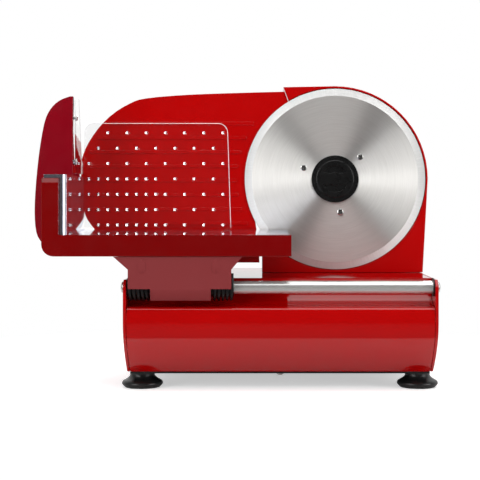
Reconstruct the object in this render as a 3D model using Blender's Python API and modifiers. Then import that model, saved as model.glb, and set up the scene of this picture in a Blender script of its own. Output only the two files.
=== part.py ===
"""Electric food slicer: red body, steel blade, sliding tray with a clear pusher.

Metres, +Z up. The user stands at -Y and looks along +Y, and +X is to the user's right.
Places are worked out in a design frame: x = 0 at the middle of the base, y = 0 at the
plane in which the blade cuts, z = 0 at the ground. One empty then moves the whole slicer
so that the middle of its footprint lies on the world origin.
"""
import math

import bmesh
import bpy
from mathutils import Matrix, Vector

MM = 0.001

# Clearances
GAP = 0.3 * MM                   # between two pieces that touch
RUNNING_GAP = 0.5 * MM           # between a moving piece and what it passes
HOLE_GAP = 0.3 * MM              # between a shaft or screw and its hole, on the radius

# Base
BASE_LENGTH = 301.0 * MM
BASE_FRONT = 120.0 * MM          # from the cutting plane to the front
BASE_REAR = 98.0 * MM            # from the cutting plane to the rear
BASE_SHELL_HEIGHT = 92.4 * MM
BASE_WALL = 2.0 * MM
BOTTOM_PLATE_THICKNESS = 1.5 * MM
END_PLATE_THICKNESS = 3.0 * MM
END_PLATE_CHAMFER = 6.0 * MM
KNEE_HEIGHT = 49.0 * MM          # where the front starts to turn under
FRONT_UNDERCUT = 37.0 * MM       # how far it has run back at the bottom
UNDERCUT_POWER = 1.8
CROWN_SETBACK = 4.5 * MM         # lip under the rod, behind the front
REAR_CORNER = 8.0 * MM

# Feet
FOOT_HEIGHT = 15.0 * MM
FOOT_RADIUS = 20.4 * MM
FOOT_NECK_RADIUS = 12.5 * MM
FOOT_RING_WIDTH = 4.0 * MM
FOOT_INSET = 13.5 * MM            # centres from the base's ends
FOOT_FRONT_SETBACK = 54.0 * MM
FOOT_REAR_SETBACK = 24.0 * MM

# Rod that carries the tray
ROD_RADIUS = 6.0 * MM
ROD_SETBACK = 12.0 * MM          # axis behind the base front
ROD_DROP = 7.7 * MM              # axis below the base top
COVE_RADIUS = 18.0 * MM          # hollow in the base around the rod
WASHER_RADIUS = 9.0 * MM
WASHER_THICKNESS = 1.0 * MM

# Blade
BLADE_RADIUS = 95.0 * MM
BLADE_THICKNESS = 1.8 * MM
BLADE_BEVEL = 7.6 * MM
BLADE_EDGE = 0.15 * MM
BLADE_BORE = 17.0 * MM
BLADE_X = 58.95 * MM
BLADE_ABOVE_BASE = 3.6 * MM      # lowest point of the blade above the base top
BLADE_SCREW_CIRCLE = 35.1 * MM
BLADE_SCREW_HEAD = 3.25 * MM
BLADE_SCREW_ANGLES = (41.0, 160.6, 279.0)
LOCK_RADIUS = 24.75 * MM
LOCK_FACE_RADIUS = 19.7 * MM
LOCK_HEIGHT = 1.1 * MM

# Gears, all with straight trapezoid teeth
DRIVE_MODULE = 1.25 * MM
DRIVE_TEETH = 72
PINION_TEETH = 12
MOTOR_MODULE = 1.0 * MM
WHEEL_TEETH = 60
MOTOR_TEETH = 10
BACKLASH = 0.3 * MM
REDUCTION_ANGLE = -60.0          # from the blade axis to the reduction shaft
MOTOR_ANGLE = 150.0              # from the reduction shaft to the motor
DRIVE_GEAR_WIDTH = 11.7 * MM
REDUCTION_SHAFT_RADIUS = 3.0 * MM
SPINDLE_RADIUS = 5.0 * MM
SPINDLE_FLANGE = 4.0 * MM        # flange wider than the spindle
SPINDLE_FLANGE_THICKNESS = 2.5 * MM
DRIVE_HUB_RADIUS = 12.0 * MM
DRIVE_SCREW_DEPTH = 9.0 * MM     # blade screw holes in the drive gear
DRIVE_ROOM = 3.0 * MM            # round the drive gear in the housing front
PINION_ROOM = 2.1 * MM
PINION_FRONT = 3.5 * MM
PINION_WIDTH = 9.5 * MM
WHEEL_SETBACK = 2.8 * MM         # behind the gearbox plate
WHEEL_WIDTH = 6.0 * MM
MOTOR_PINION_SETBACK = 1.8 * MM
MOTOR_PINION_WIDTH = 8.0 * MM
MOTOR_SHAFT_DEPTH = 20.0 * MM    # shaft inside the motor can
MOTOR_CHAMFER = 4.0 * MM
MOTOR_BOSS_HOLE = 7.0 * MM
MOTOR_SHAFT_RADIUS = 2.0 * MM
MOTOR_RADIUS = 28.0 * MM
MOTOR_LENGTH = 66.0 * MM

# Housing behind the blade
RIM_WIDTH = 2.7 * MM             # housing outside the blade edge
BLADE_POCKET_GAP = 0.9 * MM
HOUSING_PROUD = 0.8 * MM         # front face in front of the cutting plane
POCKET_FLOOR = 2.2 * MM
HOUSING_FRONT_WALL = 3.3 * MM
HOUSING_WALL = 3.0 * MM
HOUSING_DEPTH = 36.0 * MM
HOUSING_LEFT = 17.85 * MM        # left edge, left of the base centre
HOUSING_RIGHT_LEAN = 5.4 * MM    # right edge leans in by this much down to the base
HOUSING_CORNER_X = 4.6 * MM
HOUSING_CORNER_DROP = 1.0 * MM
NOTCH_RUN = 8.6 * MM
NOTCH_DROP = 23.2 * MM
HOUSING_INNER_RADIUS = 86.0 * MM
GEARBOX_PLATE_Y = 17.0 * MM
INNER_PLATE_THICKNESS = 3.0 * MM
MOTOR_MOUNT_Y = 31.0 * MM
COVER_INSET = 13.7 * MM          # from the housing rim to the cover's side
COVER_REAR = 112.0 * MM
COVER_WALL = 2.6 * MM
COVER_FLANGE = 2.7 * MM
COVER_LEFT_INSET = 6.0 * MM
COVER_EDGE = 3.0 * MM
VENTS = 9
VENT_PITCH = 9.0 * MM
VENT_HALF_WIDTH = 1.6 * MM
VENT_BELOW_AXIS = 45.0 * MM
VENT_ABOVE_AXIS = 10.0 * MM
COVER_SCREW_ANGLES = (8.0, 60.0, 112.0)

# Guide plate, whose distance sets the slice
GUIDE_TRAVEL = 15.0 * MM
GUIDE_SETBACK = 0.5 * MM         # rib fronts behind the cutting plane
GUIDE_RIB_HEIGHT = 0.8 * MM
GUIDE_THICKNESS = 3.0 * MM
GUIDE_RIB_PITCH = 15.05 * MM
GUIDE_RIB_WIDTH = 3.2 * MM
GUIDE_RIBS = 10
GUIDE_TOP_DROP = 4.6 * MM        # top edge below the housing's upper left corner
GUIDE_LEFT = 208.0 * MM
GUIDE_BOTTOM = 10.5 * MM
GUIDE_BLADE_OVERLAP = 4.0 * MM   # how far it runs in behind the blade edge
GUIDE_HOUSING_GAP = 2.65 * MM    # beside the housing
GUIDE_CORNER_GAP = 0.8 * MM      # beside the housing's notch
GUIDE_NOTCH_RUN = 6.1 * MM       # from the housing's corner to where it meets the blade's circle
GUIDE_FLAT = 44.4 * MM           # nearly straight run of the top edge
GUIDE_FLAT_DROP = 1.2 * MM
GUIDE_FOOT_RUN = 44.0 * MM       # from its left edge to its foot
GUIDE_ARC_START = 200.0          # angle on the blade's circle where the plate's edge leaves it
GUIDE_FIRST_RIB = 58.6 * MM      # above the blade axis
GUIDE_RIB_REACH = 8.0 * MM       # from the blade edge to the rib ends
GUIDE_RIB_HOUSING_GAP = 9.0 * MM
GUIDE_RIB_MARGIN = 6.0 * MM      # from the plate's left edge
CARRIER_LEFT_INSET = 10.5 * MM   # from the base's left end
CARRIER_RIGHT_INSET = 90.5 * MM
CARRIER_WALL = 4.0 * MM
CARRIER_FOOT_REAR = 44.0 * MM
CARRIER_HEIGHT = 120.0 * MM

# Thickness knob and its barrel cam
KNOB_INSET = 52.5 * MM           # axis from the base's left end
KNOB_DROP = 39.5 * MM            # axis below the base top
KNOB_RADIUS = 21.0 * MM
KNOB_DEPTH = 14.0 * MM
KNOB_TURN = math.radians(270.0)
KNOB_SHAFT_RADIUS = 5.0 * MM
CAM_RADIUS = 14.0 * MM
CAM_GROOVE_DEPTH = 4.0 * MM
CAM_PIN_RADIUS = 2.0 * MM
CAM_PIN_Y = 24.0 * MM
CAM_PIN_GAP = 0.6 * MM

# Controls on the back of the base
ROCKER_INSET = 90.5 * MM         # middle from the base's right end
ROCKER_HALF_WIDTH = 6.5 * MM
ROCKER_HALF_HEIGHT = 9.0 * MM
BUTTON_INSET = 50.5 * MM         # axis from the base's right end
BUTTON_RADIUS = 7.0 * MM
BUTTON_TRAVEL = 4.0 * MM
GLAND_INSET = 130.5 * MM         # axis from the base's right end
GLAND_RADIUS = 7.0 * MM
GLAND_NECK = 5.0 * MM
GLAND_BORE = 3.2 * MM
ROCKER_FREE = 2.0 * MM           # room above and below the rocker
RIM_THICKNESS = 1.8 * MM         # switch bezel and button ring
BEZEL_WIDTH = 2.5 * MM
BUTTON_RING_WIDTH = 3.0 * MM
CABLE_DUCT_RADIUS = 8.0 * MM     # hole under the motor cover
CABLE_DUCT_SETBACK = 35.0 * MM
CONTROLS_DROP = 45.0 * MM        # below the base top

# Tray and its frame
TRAY_FRONT = 126.0 * MM          # from the cutting plane to the frame front
TRAY_REAR_GAP = 4.0 * MM         # from the cutting plane to the tray's rear edge
FRAME_LEFT = 227.1 * MM
FRAME_RIGHT = 10.1 * MM
FRAME_BOTTOM = 22.6 * MM         # above the base top
FRAME_BAR_HEIGHT = 20.4 * MM
FRAME_POST_WIDTH = 16.3 * MM
FRAME_POST_HEIGHT = 74.7 * MM
FRAME_THICKNESS = 6.0 * MM
FRAME_CORNER = 11.4 * MM
SHEET = 1.0 * MM
TRAY_WALL_X = 204.3 * MM         # inner face of the left wall
TRAY_WALL_TOP = 57.6 * MM        # above the floor
TRAY_BEND = 6.0 * MM
TRAY_FLOOR_RISE = 2.5 * MM       # from the front of the floor to the rear
TRAY_RIGHT_INSET = 2.1 * MM
SHELF_THICKNESS = 2.6 * MM
SHELF_REAR = 26.0 * MM           # from the cutting plane
RIB_THICKNESS = 3.0 * MM

# Bracket, sleeve and springs on the rod
BRACKET_LEFT = 145.2 * MM
BRACKET_RIGHT = 47.0 * MM
BRACKET_FLARE_LEFT = 13.8 * MM
BRACKET_FLARE_RIGHT = 10.4 * MM
BRACKET_FLARE_DROP = 12.2 * MM
BRACKET_WALL = 3.2 * MM
KNUCKLE_LEFT = 124.0 * MM
KNUCKLE_RIGHT = 66.6 * MM
KNUCKLE_RADIUS = 12.0 * MM
SLEEVE_RADIUS = 9.0 * MM
SPRING_WIRE_RADIUS = 1.5 * MM
SPRING_TURNS = 4
SPRING_POINTS = 9                # points along one turn
SPRING_LEG = 14.0 * MM
GLIDE_HEIGHT = 2.2 * MM
BRACKET_REAR = 58.0 * MM         # from the cutting plane

# Pusher
PUSHER_Y = 8.0 * MM              # front face of the clear plate, from the cutting plane
PUSHER_THICKNESS = 2.0 * MM
PUSHER_LEFT_GAP = 0.9 * MM
PUSHER_RIGHT = 50.3 * MM
PUSHER_HEIGHT = 109.6 * MM
PUSHER_LEAN = 3.2 * MM
PUSHER_CORNER = 10.0 * MM
PUSHER_ABOVE_FLOOR = 4.2 * MM
TOOTH_PITCH = 20.1 * MM
TOOTH_ROW_PITCH = 16.08 * MM
TOOTH_SIZE = 1.7 * MM
TOOTH_HEIGHT = 2.0 * MM
TOOTH_ROWS = 7
TOOTH_TIP = 0.2 * MM
TOOTH_ROOT = 0.4 * MM            # sunk into the plate
TOOTH_FIRST_ROW = 99.6 * MM      # above the plate's bottom edge
TOOTH_RIGHT_INSET = 8.4 * MM
TOOTH_LEFT_INSET = 4.0 * MM
TOOTH_CORNER_INSET = 18.0 * MM   # in the first and the last row
TOOTH_DENSE_RUN = 68.34 * MM     # beyond it the lower rows have twice the teeth
TOOTH_DENSE_ROW = 3
PUSHER_FOOT_LEFT = 7.4 * MM      # from the plate's right edge
PUSHER_FOOT_RIGHT = 0.2 * MM
PUSHER_FOOT_REACH = 12.0 * MM
PUSHER_FOOT_RISE = 5.0 * MM
PUSHER_SCREW_HEIGHTS = (14.0 * MM, 58.0 * MM)
PUSHER_SCREW_SETBACK = 9.0 * MM
PUSHER_SCREW_HEAD = 3.2 * MM
PUSHER_SCREW_HEAD_HEIGHT = 1.8 * MM
PUSHER_SCREW_SHANK = 1.5 * MM
WEB_FRONT_INSET = 4.0 * MM       # behind the guard's front
WEB_REAR_DROP = 6.0 * MM
WEB_TOP_FRONT_DROP = 10.0 * MM   # from the plate's top
WEB_TOP_RISE = 20.0 * MM
WEB_TOP_REAR_RISE = 22.0 * MM
GUARD_FRONT = 68.0 * MM
GUARD_WALL = 2.5 * MM
GUARD_RIGHT_GAP = 1.5 * MM       # between the tray wall and the guard
WEB_THICKNESS = 1.8 * MM
WEB_ABOVE_WALL = 2.5 * MM

# Worked out from the sizes above
GROUND = 0.0
SHELL_BOTTOM = FOOT_HEIGHT + GAP + BOTTOM_PLATE_THICKNESS + GAP
BASE_TOP = SHELL_BOTTOM + BASE_SHELL_HEIGHT
BASE_HALF = BASE_LENGTH / 2
FOOT_SPREAD = BASE_LENGTH - 2 * FOOT_INSET
KNOB_X = -BASE_HALF + KNOB_INSET
CARRIER_LEFT = -BASE_HALF + CARRIER_LEFT_INSET
CARRIER_RIGHT = -BASE_HALF + CARRIER_RIGHT_INSET
ROCKER_X = BASE_HALF - ROCKER_INSET
BUTTON_X = BASE_HALF - BUTTON_INSET
GLAND_X = BASE_HALF - GLAND_INSET
END_PLATE_INNER = BASE_HALF - END_PLATE_THICKNESS
SHELL_HALF = END_PLATE_INNER - GAP
ROD_Y = -BASE_FRONT + ROD_SETBACK
ROD_Z = BASE_TOP - ROD_DROP
WASHER_INNER = END_PLATE_INNER - GAP - WASHER_THICKNESS
HOUSING_BOTTOM = BASE_TOP + GAP
BLADE_Z = BASE_TOP + BLADE_ABOVE_BASE + BLADE_RADIUS
RIM_RADIUS = BLADE_RADIUS + RIM_WIDTH
COVER_RADIUS = RIM_RADIUS - COVER_INSET
DRIVE_RADIUS = DRIVE_MODULE * DRIVE_TEETH / 2
PINION_RADIUS = DRIVE_MODULE * PINION_TEETH / 2
WHEEL_RADIUS = MOTOR_MODULE * WHEEL_TEETH / 2
MOTOR_PINION_RADIUS = MOTOR_MODULE * MOTOR_TEETH / 2
REDUCTION_X = BLADE_X + (DRIVE_RADIUS + PINION_RADIUS) * math.cos(math.radians(REDUCTION_ANGLE))
REDUCTION_Z = BLADE_Z + (DRIVE_RADIUS + PINION_RADIUS) * math.sin(math.radians(REDUCTION_ANGLE))
MOTOR_X = REDUCTION_X + (WHEEL_RADIUS + MOTOR_PINION_RADIUS) * math.cos(math.radians(MOTOR_ANGLE))
MOTOR_Z = REDUCTION_Z + (WHEEL_RADIUS + MOTOR_PINION_RADIUS) * math.sin(math.radians(MOTOR_ANGLE))
LOCK_FRONT = -BLADE_THICKNESS - GAP - LOCK_HEIGHT
HOUSING_REAR = HOUSING_DEPTH
HOUSING_CORNER_Z = BLADE_Z + RIM_RADIUS - HOUSING_CORNER_DROP
GUIDE_TOP = HOUSING_CORNER_Z - GUIDE_TOP_DROP
GUIDE_LOW = BASE_TOP + GUIDE_BOTTOM
COVER_FRONT = HOUSING_REAR + GAP
KNOB_Z = BASE_TOP - KNOB_DROP
CONTROLS_Z = BASE_TOP - CONTROLS_DROP
FRAME_Z = BASE_TOP + FRAME_BOTTOM
FLOOR_Z = FRAME_Z + FRAME_BAR_HEIGHT
FRAME_BACK = -TRAY_FRONT + FRAME_THICKNESS
TRAY_SHEET_FRONT = FRAME_BACK + GAP
TRAY_REAR = -TRAY_REAR_GAP
WALL_TOP = FLOOR_Z + TRAY_WALL_TOP
BRACKET_TOP = FRAME_Z - GAP
SPRING_RADIUS = (SLEEVE_RADIUS + HOLE_GAP + SPRING_WIRE_RADIUS) / math.cos(math.pi / SPRING_POINTS)
SPRING_OUTER = SPRING_RADIUS + SPRING_WIRE_RADIUS
BRACKET_FRONT = ROD_Y - SPRING_OUTER - RUNNING_GAP - BRACKET_WALL
SLEEVE_LEFT = -WASHER_INNER + GAP
SLEEVE_RIGHT = -BRACKET_RIGHT + 2 * SPRING_WIRE_RADIUS - 0.8 * MM
CARRIAGE_TRAVEL = WASHER_INNER - GAP - SLEEVE_RIGHT
PUSHER_TRAVEL = -GUARD_FRONT - (TRAY_SHEET_FRONT + TRAY_BEND) - RUNNING_GAP
GUARD_RIGHT = -TRAY_WALL_X - SHEET - GUARD_RIGHT_GAP
WEB_LEFT = GUARD_RIGHT + GAP
PUSHER_BOTTOM = FLOOR_Z + PUSHER_ABOVE_FLOOR

# Front view of the guide plate's left side, from the top right: from its left edge, and
# down from its top as a share of its height
GUIDE_CURVE = (
    (112.6 * MM, 0.018),
    (68.3 * MM, 0.039),
    (50.5 * MM, 0.070),
    (29.9 * MM, 0.144),
    (12.2 * MM, 0.256),
    (0.3 * MM, 0.392),
    (0.0, 0.555),
    (3.2 * MM, 0.711),
    (13.7 * MM, 0.806),
    (32.0 * MM, 0.932),
)

# Front view of the guard's outer edge, from its top to its bottom, from the tray wall
GUARD_EDGE = (
    (3.1 * MM, 149.4 * MM),
    (14.0 * MM, 144.5 * MM),
    (22.5 * MM, 135.6 * MM),
    (28.0 * MM, 122.0 * MM),
    (33.4 * MM, 89.7 * MM),
    (36.9 * MM, 52.0 * MM),
    (37.3 * MM, 26.0 * MM),
    (34.5 * MM, 9.5 * MM),
    (27.0 * MM, 0.0 * MM),
)
GUARD_STEPS = 3                  # curve steps between two points of the edge
GUARD_BOTTOM = 12.4 * MM         # below the tray floor
GUARD_BACK_TOP = 59.0 * MM       # from the cutting plane
GUARD_BACK_WAIST = 51.0 * MM
GUARD_BACK_LOW = 19.0 * MM
GUARD_WAIST_Z = 93.6 * MM        # above the tray floor
GUARD_LOW_Z = 74.6 * MM
WEB_TOP_BACK = 37.0 * MM

# Colours, linear values
RED_GLOSS = (0.37, 0.0012, 0.0012)
RED_DARK = (0.20, 0.004, 0.008)
RED_MATTE = (0.21, 0.022, 0.024)
BLACK = (0.006, 0.006, 0.006)
STEEL = (0.60, 0.59, 0.57)
NYLON = (0.78, 0.77, 0.72)
CLEAR = (0.9, 0.9, 0.9)


def start_scene():
    """Empty the scene and make the slicer's collection."""
    for old in list(bpy.data.objects):
        bpy.data.objects.remove(old, do_unlink=True)
    collection = bpy.data.collections.new("food_slicer")
    bpy.context.scene.collection.children.link(collection)
    return collection


PARTS = start_scene()


def material(name, colour, roughness, metallic=0.0):
    """One Principled material for one sub-part."""
    made = bpy.data.materials.new(name)
    made.use_nodes = True
    shader = made.node_tree.nodes["Principled BSDF"]
    shader.inputs["Base Color"].default_value = (*colour, 1.0)
    shader.inputs["Roughness"].default_value = roughness
    shader.inputs["Metallic"].default_value = metallic
    return made


def pivot(name, place, parent=None):
    """An empty on a joint's axis, placed in the design frame."""
    empty = bpy.data.objects.new(name, None)
    empty["place"] = tuple(place)
    empty.parent = parent
    empty.location = Vector(place)
    if parent:
        empty.location -= Vector(parent["place"])
    PARTS.objects.link(empty)
    return empty


def finish(solid, name, parent, colour, roughness, metallic=0.0):
    """Name a solid, give it its material and hang it on its pivot."""
    solid.name = name
    solid.data.name = name
    solid.data.materials.clear()
    solid.data.materials.append(material(name, colour, roughness, metallic))
    solid.parent = parent
    solid.location -= Vector(parent["place"])
    solid.data.shade_smooth()
    solid.data.set_sharp_from_angle(angle=math.radians(30.0))
    return solid


def solid_from(mesh, place):
    """A new object for a mesh, in the slicer's collection."""
    made = bpy.data.objects.new("piece", mesh)
    made.location = place
    PARTS.objects.link(made)
    return made


def apply_modifier(solid, modifier):
    """Apply one modifier and keep the object."""
    bpy.context.view_layer.objects.active = solid
    bpy.ops.object.modifier_apply(modifier=modifier.name)


def combine(solid, other, operation):
    """Boolean two solids into the first and remove the second."""
    modifier = solid.modifiers.new(operation.lower(), "BOOLEAN")
    modifier.operation = operation
    modifier.solver = "EXACT"
    modifier.object = other
    apply_modifier(solid, modifier)
    bpy.data.objects.remove(other, do_unlink=True)
    return solid


def cut(solid, *cutters):
    """Take each cutter out of the solid."""
    for cutter in cutters:
        combine(solid, cutter, "DIFFERENCE")
    return solid


def fuse(solid, *others):
    """Add each other solid to the solid."""
    for other in others:
        combine(solid, other, "UNION")
    return solid


def round_edges(solid, width, segments=2, angle=40.0):
    """Round every edge that is sharper than the angle."""
    modifier = solid.modifiers.new("round", "BEVEL")
    modifier.width = width
    modifier.segments = segments
    modifier.limit_method = "ANGLE"
    modifier.angle_limit = math.radians(angle)
    modifier.use_clamp_overlap = True
    apply_modifier(solid, modifier)
    return solid


def outline_solid(loops, plane, start, end):
    """A flat outline with its holes, made solid between two places along its normal."""
    curve = bpy.data.curves.new("outline", "CURVE")
    curve.dimensions = "2D"
    curve.fill_mode = "BOTH"
    curve.extrude = abs(end - start) / 2
    for loop in loops:
        spline = curve.splines.new("POLY")
        spline.points.add(len(loop) - 1)
        for point, (across, up) in zip(spline.points, loop):
            point.co = (across, up, 0.0, 1.0)
        spline.use_cyclic_u = True
    flat = bpy.data.objects.new("outline", curve)
    PARTS.objects.link(flat)
    middle = (start + end) / 2
    turns = {
        "XZ": (Matrix.Rotation(math.pi / 2, 4, "X"), (0.0, middle, 0.0)),
        "YZ": (Matrix.Rotation(math.pi / 2, 4, "Z") @ Matrix.Rotation(math.pi / 2, 4, "X"),
               (middle, 0.0, 0.0)),
        "XY": (Matrix.Identity(4), (0.0, 0.0, middle)),
    }
    turn, place = turns[plane]
    graph = bpy.context.evaluated_depsgraph_get()
    mesh = bpy.data.meshes.new_from_object(flat.evaluated_get(graph))
    bpy.data.objects.remove(flat, do_unlink=True)
    mesh.transform(turn)
    tidy = bmesh.new()
    tidy.from_mesh(mesh)
    bmesh.ops.remove_doubles(tidy, verts=tidy.verts, dist=0.001 * MM)
    bmesh.ops.recalc_face_normals(tidy, faces=tidy.faces)
    tidy.to_mesh(mesh)
    tidy.free()
    return solid_from(mesh, place)


def box(x_range, y_range, z_range):
    """A box between three pairs of places."""
    low = Vector((x_range[0], y_range[0], z_range[0]))
    high = Vector((x_range[1], y_range[1], z_range[1]))
    bpy.ops.mesh.primitive_cube_add(size=1.0, location=(low + high) / 2)
    made = bpy.context.object
    made.data.transform(Matrix.Diagonal((*(high - low), 1.0)))
    move_to_parts(made)
    return made


def move_to_parts(made):
    """Keep a new primitive in the slicer's collection only."""
    for holder in list(made.users_collection):
        holder.objects.unlink(made)
    PARTS.objects.link(made)


AXIS_TURNS = {
    "X": Matrix.Rotation(math.pi / 2, 4, "Y"),
    "Y": Matrix.Rotation(-math.pi / 2, 4, "X"),
    "Z": Matrix.Identity(4),
}


def cylinder(radius, axis, centre, start, end, sides=32):
    """A cylinder along X, Y or Z between two places on that axis."""
    place = Vector(centre)
    place["XYZ".index(axis)] = (start + end) / 2
    bpy.ops.mesh.primitive_cylinder_add(
        vertices=sides, radius=radius, depth=end - start, location=place)
    made = bpy.context.object
    made.data.transform(AXIS_TURNS[axis])
    move_to_parts(made)
    return made


def turned(profile, axis, centre, steps=32, closed=False):
    """A turned solid. The profile is (radius, place along the axis), top to bottom."""
    mesh = bpy.data.meshes.new("turned")
    points = [(radius, 0.0, along) for radius, along in profile]
    edges = [(i, i + 1) for i in range(len(points) - 1)]
    if closed:
        edges.append((len(points) - 1, 0))
    mesh.from_pydata(points, edges, [])
    place = Vector(centre)
    place["XYZ".index(axis)] = 0.0
    made = solid_from(mesh, place)
    modifier = made.modifiers.new("turn", "SCREW")
    modifier.steps = steps
    modifier.render_steps = steps
    modifier.use_merge_vertices = True
    modifier.merge_threshold = 0.001 * MM
    apply_modifier(made, modifier)
    tidy = bmesh.new()
    tidy.from_mesh(made.data)
    bmesh.ops.remove_doubles(tidy, verts=tidy.verts, dist=0.001 * MM)
    bmesh.ops.recalc_face_normals(tidy, faces=tidy.faces)
    tidy.to_mesh(made.data)
    tidy.free()
    made.data.transform(AXIS_TURNS[axis])
    return made


def arc(centre, radius, start, end, count):
    """Points on an arc, angles in degrees, both ends included."""
    points = []
    for i in range(count + 1):
        angle = math.radians(start + (end - start) * i / count)
        points.append((centre[0] + radius * math.cos(angle), centre[1] + radius * math.sin(angle)))
    return points


def smooth(points, count):
    """A Catmull-Rom curve through the points, with count steps between two of them."""
    made = []
    for i in range(len(points) - 1):
        before = Vector(points[max(i - 1, 0)])
        start = Vector(points[i])
        end = Vector(points[i + 1])
        after = Vector(points[min(i + 2, len(points) - 1)])
        for step in range(count):
            t = step / count
            place = 0.5 * ((2 * start) + (end - before) * t
                           + (2 * before - 5 * start + 4 * end - after) * t * t
                           + (3 * start - before - 3 * end + after) * t * t * t)
            made.append(tuple(place))
    made.append(tuple(points[-1]))
    return made


def offset(points, distance, closed=True):
    """The same outline moved to its left by a distance, with mitred corners."""
    moved = []
    count = len(points)
    for i, point in enumerate(points):
        here = Vector(point)
        before = Vector(points[(i - 1) % count])
        after = Vector(points[(i + 1) % count])
        into = (here - before).normalized()
        out = (after - here).normalized()
        if not closed and i == 0:
            into = out
        if not closed and i == count - 1:
            out = into
        left_in = Vector((-into.y, into.x))
        left_out = Vector((-out.y, out.x))
        middle = (left_in + left_out).normalized()
        moved.append(tuple(here + middle * distance / max(middle.dot(left_in), 0.2)))
    return moved


def circle(centre, radius, count=32):
    """A closed circle of points."""
    return arc(centre, radius, 0.0, 360.0 - 360.0 / count, count - 1)


def gear_outline(centre, module, teeth, phase):
    """Trapezoid teeth round a circle. The first tooth points to the phase angle."""
    radius = module * teeth / 2
    half = (math.pi * module / 2 - BACKLASH) / 2
    steps = ((-1.15, -1.5), (0.9, -0.45), (0.9, 0.45), (-1.15, 1.5))
    points = []
    for tooth in range(teeth):
        middle = phase + 2 * math.pi * tooth / teeth
        for rise, share in steps:
            reach = radius + rise * module
            angle = middle + share * half / reach
            points.append((centre[0] + reach * math.cos(angle), centre[1] + reach * math.sin(angle)))
    return points


def screw(head_radius, head_height, shank_radius, shank_length, axis, centre, seat, side):
    """A domed screw. Its head stands off the seat on the given side, its shank goes in."""
    dome = [(head_radius * math.cos(math.radians(a)), head_height * math.sin(math.radians(a)))
            for a in (0.0, 45.0)]
    profile = [(0.0, head_height)] + dome[::-1]
    profile += [(shank_radius, 0.0), (shank_radius, -shank_length), (0.0, -shank_length)]
    placed = [(radius, seat + side * (GAP + along)) for radius, along in profile]
    if side < 0:
        placed.reverse()
    return turned(placed, axis, centre, steps=14)


# The slicer's overall size, for the origin
LEFT_EXTENT = GUARD_RIGHT - max(edge[0] for edge in smooth(GUARD_EDGE, GUARD_STEPS))
RIGHT_EXTENT = BLADE_X + RIM_RADIUS
FRONT_EXTENT = -TRAY_FRONT
KNOB_REAR = BASE_REAR + GAP + KNOB_DEPTH
REAR_EXTENT = max(COVER_REAR, KNOB_REAR)
ORIGIN_SHIFT = Vector((-(LEFT_EXTENT + RIGHT_EXTENT) / 2, -(FRONT_EXTENT + REAR_EXTENT) / 2, 0.0))

# Empties: one for the whole slicer and one on each joint's axis
SLICER = pivot("slicer", (0.0, 0.0, 0.0))
SLICER.location = ORIGIN_SHIFT
CARRIAGE = pivot("carriage_slide_axis", (SLEEVE_LEFT, ROD_Y, ROD_Z), SLICER)
TILT = pivot("carriage_tilt_axis", (SLEEVE_LEFT, ROD_Y, ROD_Z), CARRIAGE)
PUSHER = pivot("pusher_slide_axis", (GUARD_RIGHT, -GUARD_FRONT, WALL_TOP), TILT)
BLADE = pivot("blade_axis", (BLADE_X, 0.0, BLADE_Z), SLICER)
LOCK = pivot("blade_lock_axis", (BLADE_X, LOCK_FRONT, BLADE_Z), BLADE)
REDUCTION = pivot("reduction_axis", (REDUCTION_X, GEARBOX_PLATE_Y, REDUCTION_Z), SLICER)
MOTOR = pivot("motor_axis", (MOTOR_X, MOTOR_MOUNT_Y, MOTOR_Z), SLICER)
KNOB = pivot("thickness_knob_axis", (KNOB_X, BASE_REAR, KNOB_Z), SLICER)
GUIDE = pivot("guide_slide_axis", (KNOB_X, CAM_PIN_Y, BASE_TOP), SLICER)
ROCKER = pivot("power_rocker_axis", (ROCKER_X, BASE_REAR - 1.0 * MM, CONTROLS_Z), SLICER)
BUTTON = pivot("interlock_button_axis", (BUTTON_X, BASE_REAR, CONTROLS_Z), SLICER)

CARRIAGE["travel"] = CARRIAGE_TRAVEL
PUSHER["travel"] = PUSHER_TRAVEL
GUIDE["travel"] = GUIDE_TRAVEL


def front_curve():
    """The base front from the bottom edge up to the knee, as (y, z)."""
    points = []
    for i in range(9):
        drop = KNEE_HEIGHT * (1 - i / 8)
        back = FRONT_UNDERCUT * (drop / KNEE_HEIGHT) ** UNDERCUT_POWER
        points.append((-BASE_FRONT + back, SHELL_BOTTOM + KNEE_HEIGHT - drop))
    return points


def rear_edge():
    """The top and the back of the base, as (y, z), from the front to the rear bottom."""
    corner = (BASE_REAR - REAR_CORNER, BASE_TOP - REAR_CORNER)
    return arc(corner, REAR_CORNER, 90.0, 0.0, 4) + [(BASE_REAR, SHELL_BOTTOM)]


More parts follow.
